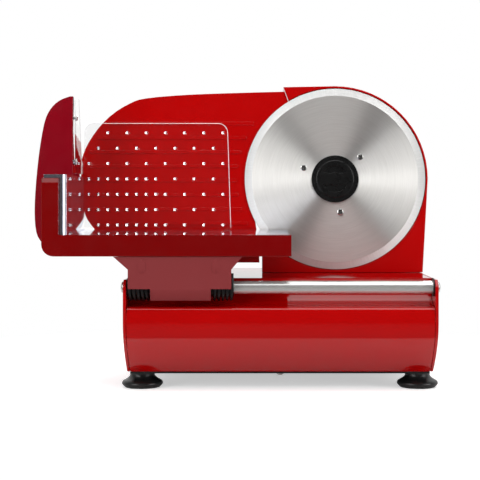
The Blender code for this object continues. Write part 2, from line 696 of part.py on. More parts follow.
def base_shell():
    """The folded red body: a channel that is open below and at both ends."""
    knee_z = SHELL_BOTTOM + KNEE_HEIGHT
    lip_z = ROD_Z - COVE_RADIUS - 0.9 * MM
    crown = []
    for i in range(1, 7):
        angle = math.radians(90.0 * (1 - i / 6))
        crown.append((-BASE_FRONT + CROWN_SETBACK * (1 - math.sin(angle)),
                      knee_z + (lip_z - knee_z) * math.cos(angle)))
    cove = arc((ROD_Y, ROD_Z), COVE_RADIUS, 265.0, 360.0, 9)
    outer = front_curve() + crown + cove + [(ROD_Y + COVE_RADIUS, BASE_TOP)] + rear_edge()
    inner = offset(outer, -BASE_WALL, closed=False)
    inner[0] = (inner[0][0], SHELL_BOTTOM)
    shell = outline_solid([outer + inner[::-1]], "YZ", -SHELL_HALF, SHELL_HALF)
    wall = (BASE_REAR - 2 * BASE_WALL, BASE_REAR + BASE_WALL)
    shaft_hole = KNOB_SHAFT_RADIUS + HOLE_GAP
    slot_half = CAM_PIN_RADIUS * 3 + RUNNING_GAP
    cut(
        shell,
        box((KNOB_X - slot_half, KNOB_X + slot_half),
            (CAM_PIN_Y - slot_half, CAM_PIN_Y + GUIDE_TRAVEL + slot_half),
            (BASE_TOP - 2 * BASE_WALL, BASE_TOP + BASE_WALL)),
        cylinder(shaft_hole, "Y", (KNOB_X, 0.0, KNOB_Z), *wall),
        box((ROCKER_X - ROCKER_HALF_WIDTH - RUNNING_GAP, ROCKER_X + ROCKER_HALF_WIDTH + RUNNING_GAP),
            wall,
            (CONTROLS_Z - ROCKER_HALF_HEIGHT - ROCKER_FREE, CONTROLS_Z + ROCKER_HALF_HEIGHT + ROCKER_FREE)),
        cylinder(BUTTON_RADIUS + RUNNING_GAP, "Y", (BUTTON_X, 0.0, CONTROLS_Z), *wall),
        cylinder(GLAND_NECK + HOLE_GAP, "Y", (GLAND_X, 0.0, CONTROLS_Z), *wall),
        cylinder(CABLE_DUCT_RADIUS, "Z", (BLADE_X, COVER_REAR - CABLE_DUCT_SETBACK, 0.0),
                 BASE_TOP - 2 * BASE_WALL, BASE_TOP + BASE_WALL),
    )
    finish(shell, "base_shell", SLICER, RED_GLOSS, 0.12)


def end_plates():
    """The red plates that close the base ends and hold the rod."""
    chamfer = END_PLATE_CHAMFER
    outline = front_curve()
    outline += [(-BASE_FRONT, BASE_TOP - chamfer), (-BASE_FRONT + chamfer, BASE_TOP)]
    outline += rear_edge()
    for name, side in (("end_plate_left", -1), ("end_plate_right", 1)):
        inner, outer = side * END_PLATE_INNER, side * BASE_HALF
        plate = outline_solid([outline], "YZ", min(inner, outer), max(inner, outer))
        cut(plate, cylinder(3.0 * MM + HOLE_GAP, "X", (0.0, ROD_Y, ROD_Z),
                            min(inner, outer) - GAP, max(inner, outer) + GAP, sides=20))
        finish(plate, name, SLICER, RED_GLOSS, 0.15)


def base_underside():
    """Black bottom plate, its screws and the four suction feet."""
    plate = box((-SHELL_HALF, SHELL_HALF),
                (-BASE_FRONT + FRONT_UNDERCUT, BASE_REAR - BASE_WALL),
                (FOOT_HEIGHT + GAP, FOOT_HEIGHT + GAP + BOTTOM_PLATE_THICKNESS))
    front_screw = -BASE_FRONT + FRONT_UNDERCUT + 5.0 * MM
    rear_screw = BASE_REAR - BASE_WALL - 8.0 * MM
    for y in (front_screw, rear_screw):
        cut(plate, cylinder(1.6 * MM + HOLE_GAP, "Z", (0.0, y, 0.0), FOOT_HEIGHT - GAP, SHELL_BOTTOM,
                            sides=20))
    finish(plate, "bottom_plate", SLICER, BLACK, 0.5)
    for name, y in (("bottom_screw_front", front_screw), ("bottom_screw_rear", rear_screw)):
        made = screw(3.5 * MM, 2.0 * MM, 1.6 * MM, 2.0 * MM, "Z", (0.0, y, 0.0), FOOT_HEIGHT + GAP, -1)
        finish(made, name, SLICER, STEEL, 0.3, 1.0)
    ring = FOOT_RADIUS - 2.9 * MM
    profile = [
        (0.0, FOOT_HEIGHT),
        (FOOT_NECK_RADIUS, FOOT_HEIGHT),
        (FOOT_NECK_RADIUS - 0.3 * MM, FOOT_HEIGHT * 0.78),
        (FOOT_NECK_RADIUS + 2.2 * MM, FOOT_HEIGHT * 0.58),
        (FOOT_RADIUS - 1.2 * MM, FOOT_HEIGHT * 0.42),
        (FOOT_RADIUS, FOOT_HEIGHT * 0.30),
        (FOOT_RADIUS - 0.8 * MM, FOOT_HEIGHT * 0.13),
        (ring, GROUND),
        (ring - FOOT_RING_WIDTH, GROUND),
        (ring * 0.55, FOOT_HEIGHT * 0.25),
        (0.0, FOOT_HEIGHT * 0.35),
    ]
    front_y = -BASE_FRONT + FOOT_FRONT_SETBACK
    rear_y = BASE_REAR - FOOT_REAR_SETBACK
    places = (
        ("foot_front_left", -FOOT_SPREAD / 2, front_y),
        ("foot_front_right", FOOT_SPREAD / 2, front_y),
        ("foot_rear_left", -FOOT_SPREAD / 2, rear_y),
        ("foot_rear_right", FOOT_SPREAD / 2, rear_y),
    )
    for name, x, y in places:
        finish(turned(profile, "Z", (x, y, 0.0), steps=24), name, SLICER, BLACK, 0.35)


def slide_rod():
    """The steel rod, its end washers and the screws through the end plates."""
    length = END_PLATE_INNER - GAP
    rod = cylinder(ROD_RADIUS, "X", (0.0, ROD_Y, ROD_Z), -length, length, sides=32)
    finish(rod, "slide_rod", SLICER, STEEL, 0.15, 1.0)
    for name, side in (("rod_screw_left", -1), ("rod_screw_right", 1)):
        made = screw(5.5 * MM, 3.0 * MM, 3.0 * MM, END_PLATE_THICKNESS, "X",
                     (0.0, ROD_Y, ROD_Z), side * BASE_HALF, side)
        finish(made, name, SLICER, STEEL, 0.2, 1.0)
    bore = ROD_RADIUS + HOLE_GAP
    for name, side in (("rod_washer_left", -1), ("rod_washer_right", 1)):
        low, high = sorted((side * WASHER_INNER, side * (WASHER_INNER + WASHER_THICKNESS)))
        ring = [(bore, high), (WASHER_RADIUS, high), (WASHER_RADIUS, low), (bore, low)]
        finish(turned(ring, "X", (0.0, ROD_Y, ROD_Z), closed=True, steps=28),
               name, SLICER, BLACK, 0.5)


base_shell()
end_plates()
base_underside()
slide_rod()


def housing_outline():
    """Front view of the blade housing, as (x, z), counterclockwise from its bottom left."""
    right_top = (BLADE_X + RIM_RADIUS, BLADE_Z)
    points = [(-HOUSING_LEFT, HOUSING_BOTTOM), (right_top[0] - HOUSING_RIGHT_LEAN, HOUSING_BOTTOM)]
    points += arc((BLADE_X, BLADE_Z), RIM_RADIUS, 0.0, 90.0, 16)
    corner = (HOUSING_CORNER_X, HOUSING_CORNER_Z)
    notch = (corner[0] + NOTCH_RUN, corner[1] - NOTCH_DROP)
    start = math.degrees(math.atan2(notch[1] - BLADE_Z, notch[0] - BLADE_X))
    end = 360.0 - math.degrees(math.acos((-HOUSING_LEFT - BLADE_X) / HOUSING_INNER_RADIUS))
    points.append(corner)
    points += arc((BLADE_X, BLADE_Z), HOUSING_INNER_RADIUS, start, end, 12)
    return points


def inner_plate(name, front, holes):
    """A plate across the inside of the housing."""
    plate = outline_solid([offset(housing_outline(), HOUSING_WALL + GAP)], "XZ",
                          front, front + INNER_PLATE_THICKNESS)
    for x, z, radius in holes:
        cut(plate, cylinder(radius, "Y", (x, 0.0, z), front - GAP,
                            front + INNER_PLATE_THICKNESS + GAP, sides=24))
    finish(plate, name, SLICER, STEEL, 0.45, 1.0)


def blade_housing():
    """The red housing behind the blade, open at the rear, and the plates inside it."""
    outline = housing_outline()
    body = outline_solid([outline], "XZ", -HOUSING_PROUD, HOUSING_REAR)
    wall_back = POCKET_FLOOR + HOUSING_FRONT_WALL
    middle = (BLADE_X, 0.0, BLADE_Z)
    past = wall_back + 1.0 * MM
    cut(
        body,
        outline_solid([offset(outline, HOUSING_WALL)], "XZ", wall_back, HOUSING_REAR + 1.0 * MM),
        cylinder(BLADE_RADIUS + BLADE_POCKET_GAP, "Y", middle, -2 * HOUSING_PROUD, POCKET_FLOOR, sides=72),
        cylinder(DRIVE_RADIUS + DRIVE_ROOM, "Y", middle, 0.0, past, sides=48),
        cylinder(PINION_RADIUS + PINION_ROOM, "Y", (REDUCTION_X, 0.0, REDUCTION_Z), 0.0, past, sides=24),
    )
    finish(body, "blade_housing", SLICER, RED_GLOSS, 0.12)
    shaft_hole = REDUCTION_SHAFT_RADIUS + HOLE_GAP
    inner_plate("gearbox_plate", GEARBOX_PLATE_Y, (
        (BLADE_X, BLADE_Z, SPINDLE_RADIUS + HOLE_GAP),
        (REDUCTION_X, REDUCTION_Z, shaft_hole),
    ))
    inner_plate("motor_mount", MOTOR_MOUNT_Y, (
        (MOTOR_X, MOTOR_Z, MOTOR_BOSS_HOLE),
        (REDUCTION_X, REDUCTION_Z, shaft_hole),
    ))
    flange = GEARBOX_PLATE_Y + INNER_PLATE_THICKNESS + GAP
    stud = [
        (0.0, flange + SPINDLE_FLANGE_THICKNESS),
        (SPINDLE_RADIUS + SPINDLE_FLANGE, flange + SPINDLE_FLANGE_THICKNESS),
        (SPINDLE_RADIUS + SPINDLE_FLANGE, flange),
        (SPINDLE_RADIUS, flange),
        (SPINDLE_RADIUS, GAP + 0.2 * MM),
        (0.0, GAP + 0.2 * MM),
    ]
    finish(turned(stud, "Y", middle), "spindle_stud", SLICER, STEEL, 0.25, 1.0)


def rear_motor_cover():
    """The red cover over the motor, with its flange, vents and screws."""
    centre = (BLADE_X, BLADE_Z)
    left = -HOUSING_LEFT + COVER_LEFT_INSET
    right = BLADE_X + COVER_RADIUS
    turn = math.degrees(math.acos((left - BLADE_X) / COVER_RADIUS))
    outline = [(left, HOUSING_BOTTOM), (right, HOUSING_BOTTOM)] + arc(centre, COVER_RADIUS, 0.0, turn, 18)
    flange_rear = COVER_FRONT + COVER_FLANGE
    body = outline_solid([outline], "XZ", flange_rear - GAP, COVER_REAR)
    round_edges(body, COVER_EDGE, segments=2)
    fuse(body, outline_solid([housing_outline()], "XZ", COVER_FRONT, flange_rear))
    cut(body, outline_solid([offset(outline, 2 * COVER_WALL)], "XZ", COVER_FRONT - GAP,
                            COVER_REAR - COVER_WALL))
    for i in range(VENTS):
        x = BLADE_X + (i - VENTS // 2) * VENT_PITCH
        cut(body, box((x - VENT_HALF_WIDTH, x + VENT_HALF_WIDTH),
                      (COVER_REAR - 2 * COVER_WALL, COVER_REAR + GAP),
                      (BLADE_Z - VENT_BELOW_AXIS, BLADE_Z + VENT_ABOVE_AXIS)))
    finish(body, "rear_motor_cover", SLICER, RED_GLOSS, 0.2)
    ring = (RIM_RADIUS + COVER_RADIUS) / 2
    for i, angle in enumerate(COVER_SCREW_ANGLES):
        x = BLADE_X + ring * math.cos(math.radians(angle))
        z = BLADE_Z + ring * math.sin(math.radians(angle))
        made = screw(3.0 * MM, 2.0 * MM, 1.2 * MM, 0.2 * MM, "Y", (x, 0.0, z), flange_rear, 1)
        finish(made, "cover_screw_%d" % (i + 1), SLICER, STEEL, 0.3, 1.0)


def motor():
    """Motor can on its mount, with its shaft and pinion."""
    place = (MOTOR_X, 0.0, MOTOR_Z)
    front = MOTOR_MOUNT_Y + INNER_PLATE_THICKNESS + GAP
    bore = MOTOR_SHAFT_RADIUS + HOLE_GAP
    depth = MOTOR_SHAFT_DEPTH
    end = front + MOTOR_LENGTH
    profile = [(0.0, end), (MOTOR_RADIUS - MOTOR_CHAMFER, end), (MOTOR_RADIUS, end - MOTOR_CHAMFER),
               (MOTOR_RADIUS, front), (bore, front), (bore, front + depth), (0.0, front + depth)]
    finish(turned(profile, "Y", place), "motor_can", SLICER, STEEL, 0.4, 1.0)
    pinion_front = GEARBOX_PLATE_Y + INNER_PLATE_THICKNESS + MOTOR_PINION_SETBACK
    shaft = cylinder(MOTOR_SHAFT_RADIUS, "Y", place, pinion_front - 0.8 * MM, front + depth - GAP, sides=20)
    finish(shaft, "motor_shaft", MOTOR, STEEL, 0.25, 1.0)
    phase = math.radians(MOTOR_ANGLE + 180.0)
    teeth = gear_outline((MOTOR_X, MOTOR_Z), MOTOR_MODULE, MOTOR_TEETH, phase)
    pinion = outline_solid([teeth, circle((MOTOR_X, MOTOR_Z), bore, 20)], "XZ",
                           pinion_front, pinion_front + MOTOR_PINION_WIDTH)
    finish(pinion, "motor_pinion", MOTOR, STEEL, 0.35, 1.0)


def reduction():
    """Reduction shaft with the wheel that the motor turns and the pinion behind the blade."""
    place = (REDUCTION_X, REDUCTION_Z)
    bore = REDUCTION_SHAFT_RADIUS + HOLE_GAP
    shaft = cylinder(REDUCTION_SHAFT_RADIUS, "Y", (REDUCTION_X, 0.0, REDUCTION_Z), 2.5 * MM,
                     MOTOR_MOUNT_Y + INNER_PLATE_THICKNESS - GAP, sides=24)
    finish(shaft, "reduction_shaft", REDUCTION, STEEL, 0.25, 1.0)
    wheel_front = GEARBOX_PLATE_Y + INNER_PLATE_THICKNESS + WHEEL_SETBACK
    phase = math.radians(MOTOR_ANGLE + 180.0 / WHEEL_TEETH)
    wheel = outline_solid([gear_outline(place, MOTOR_MODULE, WHEEL_TEETH, phase), circle(place, bore, 24)],
                          "XZ", wheel_front, wheel_front + WHEEL_WIDTH)
    finish(wheel, "reduction_wheel", REDUCTION, NYLON, 0.5)
    phase = math.radians(REDUCTION_ANGLE + 180.0)
    pinion = outline_solid([gear_outline(place, DRIVE_MODULE, PINION_TEETH, phase), circle(place, bore, 24)],
                           "XZ", PINION_FRONT, PINION_FRONT + PINION_WIDTH)
    finish(pinion, "reduction_pinion", REDUCTION, STEEL, 0.35, 1.0)


def blade_group():
    """Blade, the large gear on its back, the three screws and the lock."""
    centre = (BLADE_X, BLADE_Z)
    middle = (BLADE_X, 0.0, BLADE_Z)
    inner = BLADE_RADIUS - BLADE_BEVEL
    profile = [(BLADE_BORE, 0.0), (BLADE_RADIUS, 0.0), (BLADE_RADIUS, -BLADE_EDGE),
               (inner, -BLADE_THICKNESS), (BLADE_BORE, -BLADE_THICKNESS)]
    blade = turned(profile, "Y", middle, steps=96, closed=True)
    gear_back = GAP + DRIVE_GEAR_WIDTH
    phase = math.radians(REDUCTION_ANGLE + 180.0 / DRIVE_TEETH)
    bore = SPINDLE_RADIUS + HOLE_GAP
    teeth = gear_outline(centre, DRIVE_MODULE, DRIVE_TEETH, phase)
    gear = outline_solid([teeth, circle(centre, bore)], "XZ", GAP, gear_back)
    hub = outline_solid([circle(centre, DRIVE_HUB_RADIUS), circle(centre, bore)], "XZ",
                        gear_back - 1.0 * MM, GEARBOX_PLATE_Y - GAP)
    fuse(gear, hub)
    shank = 1.5 * MM
    for i, angle in enumerate(BLADE_SCREW_ANGLES):
        x = BLADE_X + BLADE_SCREW_CIRCLE * math.cos(math.radians(angle))
        z = BLADE_Z + BLADE_SCREW_CIRCLE * math.sin(math.radians(angle))
        spot = (x, 0.0, z)
        cut(blade, cylinder(shank + HOLE_GAP, "Y", spot, -2 * BLADE_THICKNESS, BLADE_THICKNESS, sides=16))
        cut(gear, cylinder(shank + HOLE_GAP, "Y", spot, -GAP, DRIVE_SCREW_DEPTH, sides=16))
        made = screw(BLADE_SCREW_HEAD, 0.85 * MM, shank, BLADE_THICKNESS + 6.0 * MM, "Y", spot,
                     -BLADE_THICKNESS, -1)
        finish(made, "blade_screw_%d" % (i + 1), BLADE, STEEL, 0.25, 1.0)
    finish(blade, "blade", BLADE, STEEL, 0.25, 1.0)
    finish(gear, "drive_gear", BLADE, NYLON, 0.5)
    back = -BLADE_THICKNESS - GAP
    rim = back - LOCK_HEIGHT * 0.6
    profile = [
        (0.0, -0.1 * MM),
        (BLADE_BORE - 0.4 * MM, -0.1 * MM),
        (BLADE_BORE - 0.4 * MM, back),
        (LOCK_RADIUS, back),
        (LOCK_RADIUS, rim),
        (LOCK_FACE_RADIUS, rim),
        (LOCK_FACE_RADIUS - 0.5 * MM, LOCK_FRONT),
        (0.0, LOCK_FRONT),
    ]
    lock = turned(profile, "Y", middle, steps=40)
    for side in (-1, 1):
        finger = arc(centre, 14.0 * MM, 30.0, 150.0, 10) + arc(centre, 7.0 * MM, 130.0, 50.0, 5)
        if side < 0:
            finger = [(2 * centre[0] - x, 2 * centre[1] - z) for x, z in finger]
        cut(lock, outline_solid([finger], "XZ", LOCK_FRONT - GAP, LOCK_FRONT + 1.0 * MM))
    finish(lock, "blade_lock", LOCK, BLACK, 0.3)


def guide_outline():
    """Front view of the guide plate, as (x, z), counterclockwise from its bottom right."""
    height = GUIDE_TOP - GUIDE_LOW
    right = -HOUSING_LEFT - GUIDE_HOUSING_GAP
    far = -GUIDE_LEFT
    corner_run = GUIDE_TOP_DROP * NOTCH_RUN / NOTCH_DROP
    corner = (HOUSING_CORNER_X + corner_run - GUIDE_CORNER_GAP, GUIDE_TOP)
    reach = BLADE_RADIUS - GUIDE_BLADE_OVERLAP
    corner_turn = math.degrees(math.acos((HOUSING_CORNER_X + GUIDE_NOTCH_RUN - BLADE_X) / reach))
    left_side = [corner, (corner[0] - GUIDE_FLAT, GUIDE_TOP - GUIDE_FLAT_DROP)]
    left_side += [(far + across, GUIDE_TOP - drop * height) for across, drop in GUIDE_CURVE]
    edge = [(right, GUIDE_LOW), (right - 1.0 * MM, GUIDE_LOW + 0.14 * height),
            (right - 3.5 * MM, GUIDE_LOW + 0.205 * height)]
    inner = arc((BLADE_X, BLADE_Z), reach, GUIDE_ARC_START, corner_turn, 12)
    return edge + inner + smooth(left_side, 3) + [(far + GUIDE_FOOT_RUN, GUIDE_LOW)]


def guide_plate():
    """The ribbed red plate that sets the slice, its carrier and two screws."""
    front = GUIDE_SETBACK + GUIDE_RIB_HEIGHT
    back = front + GUIDE_THICKNESS
    outline = guide_outline()
    plate = outline_solid([outline], "XZ", front, back)
    rim = BLADE_RADIUS + GUIDE_RIB_REACH
    for i in range(GUIDE_RIBS):
        z = BLADE_Z + GUIDE_FIRST_RIB - i * GUIDE_RIB_PITCH
        reach = math.sqrt(max(rim ** 2 - (z - BLADE_Z) ** 2, 0.0))
        right = min(BLADE_X - reach, -HOUSING_LEFT - GUIDE_RIB_HOUSING_GAP)
        crossings = [x0 + (x1 - x0) * (z - z0) / (z1 - z0)
                     for (x0, z0), (x1, z1) in zip(outline, outline[1:] + outline[:1])
                     if (z0 - z) * (z1 - z) < 0]
        left = min(crossings) + GUIDE_RIB_MARGIN
        rib = box((left, right), (GUIDE_SETBACK, front + 0.5 * MM),
                  (z - GUIDE_RIB_WIDTH / 2, z + GUIDE_RIB_WIDTH / 2))
        fuse(plate, rib)
    carrier_front = back + GAP
    carrier_back = carrier_front + CARRIER_WALL
    foot = (BASE_TOP + GAP, BASE_TOP + GAP + 4.0 * MM)
    stem_half = CAM_PIN_RADIUS * 3
    cam_top = KNOB_Z + CAM_RADIUS
    carrier = box((CARRIER_LEFT, CARRIER_RIGHT), (carrier_front, carrier_back),
                  (foot[0], BASE_TOP + CARRIER_HEIGHT))
    fuse(
        carrier,
        box((CARRIER_LEFT, CARRIER_RIGHT), (carrier_front + GAP, CARRIER_FOOT_REAR), foot),
        box((KNOB_X - stem_half, KNOB_X + stem_half), (CAM_PIN_Y - stem_half, CAM_PIN_Y + stem_half),
            (cam_top + 1.0 * MM, foot[1] - 1.0 * MM)),
        cylinder(CAM_PIN_RADIUS, "Z", (KNOB_X, CAM_PIN_Y, 0.0),
                 cam_top - CAM_GROOVE_DEPTH + 0.6 * MM, cam_top + 2.0 * MM, sides=16),
    )
    for i, x in enumerate((CARRIER_LEFT + 12.0 * MM, CARRIER_RIGHT - 12.0 * MM)):
        spot = (x, 0.0, BASE_TOP + CARRIER_HEIGHT - 10.0 * MM)
        cut(carrier, cylinder(1.5 * MM + HOLE_GAP, "Y", spot, carrier_front - GAP, carrier_back + GAP,
                              sides=16))
        cut(plate, cylinder(1.5 * MM + HOLE_GAP, "Y", spot, back - 2.0 * MM, back + GAP, sides=16))
        made = screw(3.2 * MM, 2.0 * MM, 1.5 * MM, CARRIER_WALL + 1.8 * MM, "Y", spot, carrier_back, 1)
        finish(made, "guide_screw_%d" % (i + 1), GUIDE, STEEL, 0.3, 1.0)
    finish(plate, "guide_plate", GUIDE, RED_GLOSS, 0.15)
    finish(carrier, "guide_carrier", GUIDE, STEEL, 0.4, 1.0)


def thickness_knob():
    """The knob, and the shaft with the barrel cam that moves the guide plate."""
    steps = 48
    margin = math.radians(20.0)
    half = CAM_PIN_RADIUS + CAM_PIN_GAP
    cam_front = CAM_PIN_Y - 12.0 * MM
    cam_back = CAM_PIN_Y + GUIDE_TRAVEL + 12.0 * MM
    shaft_end = BASE_REAR + GAP + KNOB_DEPTH - 5.0 * MM
    body = bmesh.new()
    rows = []
    for i in range(steps):
        turn = 2 * math.pi * i / steps - margin
        share = turn / KNOB_TURN
        if turn > KNOB_TURN + margin:
            left = (2 * math.pi - margin - turn) / (2 * math.pi - KNOB_TURN - 2 * margin)
            share = left * (1 + 2 * margin / KNOB_TURN) - margin / KNOB_TURN
        middle = CAM_PIN_Y + GUIDE_TRAVEL * share
        floor = CAM_RADIUS - CAM_GROOVE_DEPTH
        profile = (
            (CAM_RADIUS, cam_front), (CAM_RADIUS, middle - half), (floor, middle - half),
            (floor, middle + half), (CAM_RADIUS, middle + half), (CAM_RADIUS, cam_back),
            (KNOB_SHAFT_RADIUS, cam_back), (KNOB_SHAFT_RADIUS, shaft_end),
        )
        side = (-math.sin(turn), math.cos(turn))
        rows.append([body.verts.new((r * side[0], y, r * side[1])) for r, y in profile])
    for i in range(steps):
        row, after = rows[i], rows[(i + 1) % steps]
        for j in range(len(row) - 1):
            body.faces.new((row[j], row[j + 1], after[j + 1], after[j]))
    body.faces.new([row[0] for row in rows])
    body.faces.new([row[-1] for row in rows])
    bmesh.ops.recalc_face_normals(body, faces=body.faces)
    mesh = bpy.data.meshes.new("cam")
    body.to_mesh(mesh)
    body.free()
    finish(solid_from(mesh, (KNOB_X, 0.0, KNOB_Z)), "knob_cam_shaft", KNOB, NYLON, 0.5)
    front = BASE_REAR + GAP
    bore = KNOB_SHAFT_RADIUS + HOLE_GAP
    profile = [
        (0.0, front + KNOB_DEPTH),
        (KNOB_RADIUS - 3.0 * MM, front + KNOB_DEPTH),
        (KNOB_RADIUS - 1.5 * MM, front + KNOB_DEPTH - 1.5 * MM),
        (KNOB_RADIUS - 1.5 * MM, front + 3.0 * MM),
        (KNOB_RADIUS, front + 2.0 * MM),
        (KNOB_RADIUS, front),
        (bore, front),
        (bore, shaft_end + GAP),
        (0.0, shaft_end + GAP),
    ]
    finish(turned(profile, "Y", (KNOB_X, 0.0, KNOB_Z), steps=36), "thickness_knob", KNOB, BLACK, 0.4)


def rear_controls():
    """Power rocker, interlock button with its ring, and the gland for the cord."""
    front, back = BASE_REAR - 6.0 * MM, BASE_REAR + 1.0 * MM
    z = CONTROLS_Z
    low, high = z - ROCKER_HALF_HEIGHT, z + ROCKER_HALF_HEIGHT
    rocker = [(front, low + 2.0 * MM), (back, low), (back + 2.6 * MM, low + 1.0 * MM), (back, z),
              (back, high), (front, high - 2.0 * MM)]
    rocker = outline_solid([rocker], "YZ", ROCKER_X - ROCKER_HALF_WIDTH, ROCKER_X + ROCKER_HALF_WIDTH)
    finish(rocker, "power_rocker", ROCKER, BLACK, 0.3)
    hole_x = ROCKER_HALF_WIDTH + RUNNING_GAP
    hole_z = ROCKER_HALF_HEIGHT + ROCKER_FREE
    rim = (BASE_REAR + GAP, BASE_REAR + GAP + RIM_THICKNESS)
    bezel = box((ROCKER_X - hole_x - BEZEL_WIDTH, ROCKER_X + hole_x + BEZEL_WIDTH), rim,
                (z - hole_z - BEZEL_WIDTH, z + hole_z + BEZEL_WIDTH))
    cut(bezel, box((ROCKER_X - hole_x, ROCKER_X + hole_x), (BASE_REAR - GAP, rim[1] + GAP),
                   (z - hole_z, z + hole_z)))
    finish(bezel, "switch_bezel", SLICER, BLACK, 0.35)
    spot = (BUTTON_X, 0.0, z)
    inside = BASE_REAR - BASE_WALL - 8.0 * MM
    button = cylinder(BUTTON_RADIUS, "Y", spot, inside, BASE_REAR + BUTTON_TRAVEL + 2.5 * MM, sides=28)
    finish(button, "interlock_button", BUTTON, BLACK, 0.35)
    bore = BUTTON_RADIUS + RUNNING_GAP
    ring_outer = bore + BUTTON_RING_WIDTH
    ring = [(bore, rim[1]), (ring_outer, rim[1]), (ring_outer, rim[0]), (bore, rim[0])]
    finish(turned(ring, "Y", spot, closed=True, steps=28), "button_ring", SLICER, BLACK, 0.35)
    tip = BASE_REAR + 9.0 * MM
    shoulder = BASE_REAR + 3.0 * MM
    inside = BASE_REAR - BASE_WALL - 2.0 * MM
    gland = [(GLAND_BORE, tip), (GLAND_NECK, tip), (GLAND_RADIUS, shoulder), (GLAND_RADIUS, rim[0]),
             (GLAND_NECK, rim[0]), (GLAND_NECK, inside), (GLAND_BORE, inside)]
    finish(turned(gland, "Y", (GLAND_X, 0.0, z), closed=True, steps=24), "cord_gland", SLICER, BLACK, 0.5)


def bracket():
    """The matte bracket under the tray, its glide and its two screws."""
    left, right = -BRACKET_LEFT, -BRACKET_RIGHT
    waist = BRACKET_TOP - BRACKET_FLARE_DROP
    bottom = ROD_Z - 0.7 * MM
    face = [(left, bottom), (right, bottom), (right, waist), (right + BRACKET_FLARE_RIGHT, BRACKET_TOP),
            (left - BRACKET_FLARE_LEFT, BRACKET_TOP), (left, waist)]
    front = BRACKET_FRONT
    rear = -BRACKET_REAR
    body = outline_solid([face], "XZ", front, front + BRACKET_WALL)
    knuckle = (-KNUCKLE_LEFT, -KNUCKLE_RIGHT)
    cove_rear = ROD_Y + COVE_RADIUS
    foot = BASE_TOP + GAP + GLIDE_HEIGHT + GAP
    inset = 0.4 * MM
    web_top = BRACKET_TOP - inset
    web = [(front + 1.0 * MM, bottom + inset), (ROD_Y + KNUCKLE_RADIUS - 1.0 * MM, bottom + inset),
           (cove_rear - 3.0 * MM, foot - 1.0 * MM), (rear, foot), (rear, web_top),
           (front + 1.0 * MM, web_top)]
    fuse(
        body,
        outline_solid([web], "YZ", knuckle[0] + inset, knuckle[0] + BRACKET_WALL),
        outline_solid([web], "YZ", knuckle[1] - BRACKET_WALL, knuckle[1] - inset),
        box((left - BRACKET_FLARE_LEFT + 4.0 * MM, right + BRACKET_FLARE_RIGHT - 4.0 * MM),
            (front + 1.4 * MM, rear + 2.0 * MM), (BRACKET_TOP - BRACKET_WALL, BRACKET_TOP - inset / 2)),
        box((knuckle[0] + 2 * inset, knuckle[1] - 2 * inset), (cove_rear + 1.0 * MM, rear + 1.0 * MM),
            (foot + inset / 2, foot + BRACKET_WALL)),
        box((knuckle[0] + 3 * inset, knuckle[1] - 3 * inset), (front + 0.7 * MM, ROD_Y - 5.0 * MM),
            (bottom + 2 * inset, ROD_Z + KNUCKLE_RADIUS - 2.0 * MM)),
        cylinder(KNUCKLE_RADIUS, "X", (0.0, ROD_Y, ROD_Z), *knuckle, sides=36),
    )
    cut(body, cylinder(SLEEVE_RADIUS + HOLE_GAP, "X", (0.0, ROD_Y, ROD_Z), knuckle[0] - 1.0 * MM,
                       knuckle[1] + 1.0 * MM, sides=32))
    spots = [(x, -75.0 * MM) for x in (left - 4.0 * MM, right - 8.0 * MM)]
    for i, (x, y) in enumerate(spots):
        cut(body, cylinder(1.8 * MM + HOLE_GAP, "Z", (x, y, 0.0), BRACKET_TOP - 2 * BRACKET_WALL,
                           BRACKET_TOP + GAP, sides=16))
        made = screw(3.5 * MM, 2.2 * MM, 1.8 * MM, BRACKET_WALL + 7.0 * MM, "Z", (x, y, 0.0),
                     BRACKET_TOP - BRACKET_WALL, -1)
        finish(made, "bracket_screw_%d" % (i + 1), TILT, STEEL, 0.3, 1.0)
    finish(body, "carriage_bracket", TILT, RED_MATTE, 0.55)
    glide = box((knuckle[0] + 6.0 * MM, knuckle[1] - 6.0 * MM), (cove_rear + 6.0 * MM, rear - 1.0 * MM),
                (BASE_TOP + GAP, BASE_TOP + GAP + GLIDE_HEIGHT))
    finish(glide, "carriage_glide", TILT, NYLON, 0.5)
    return spots


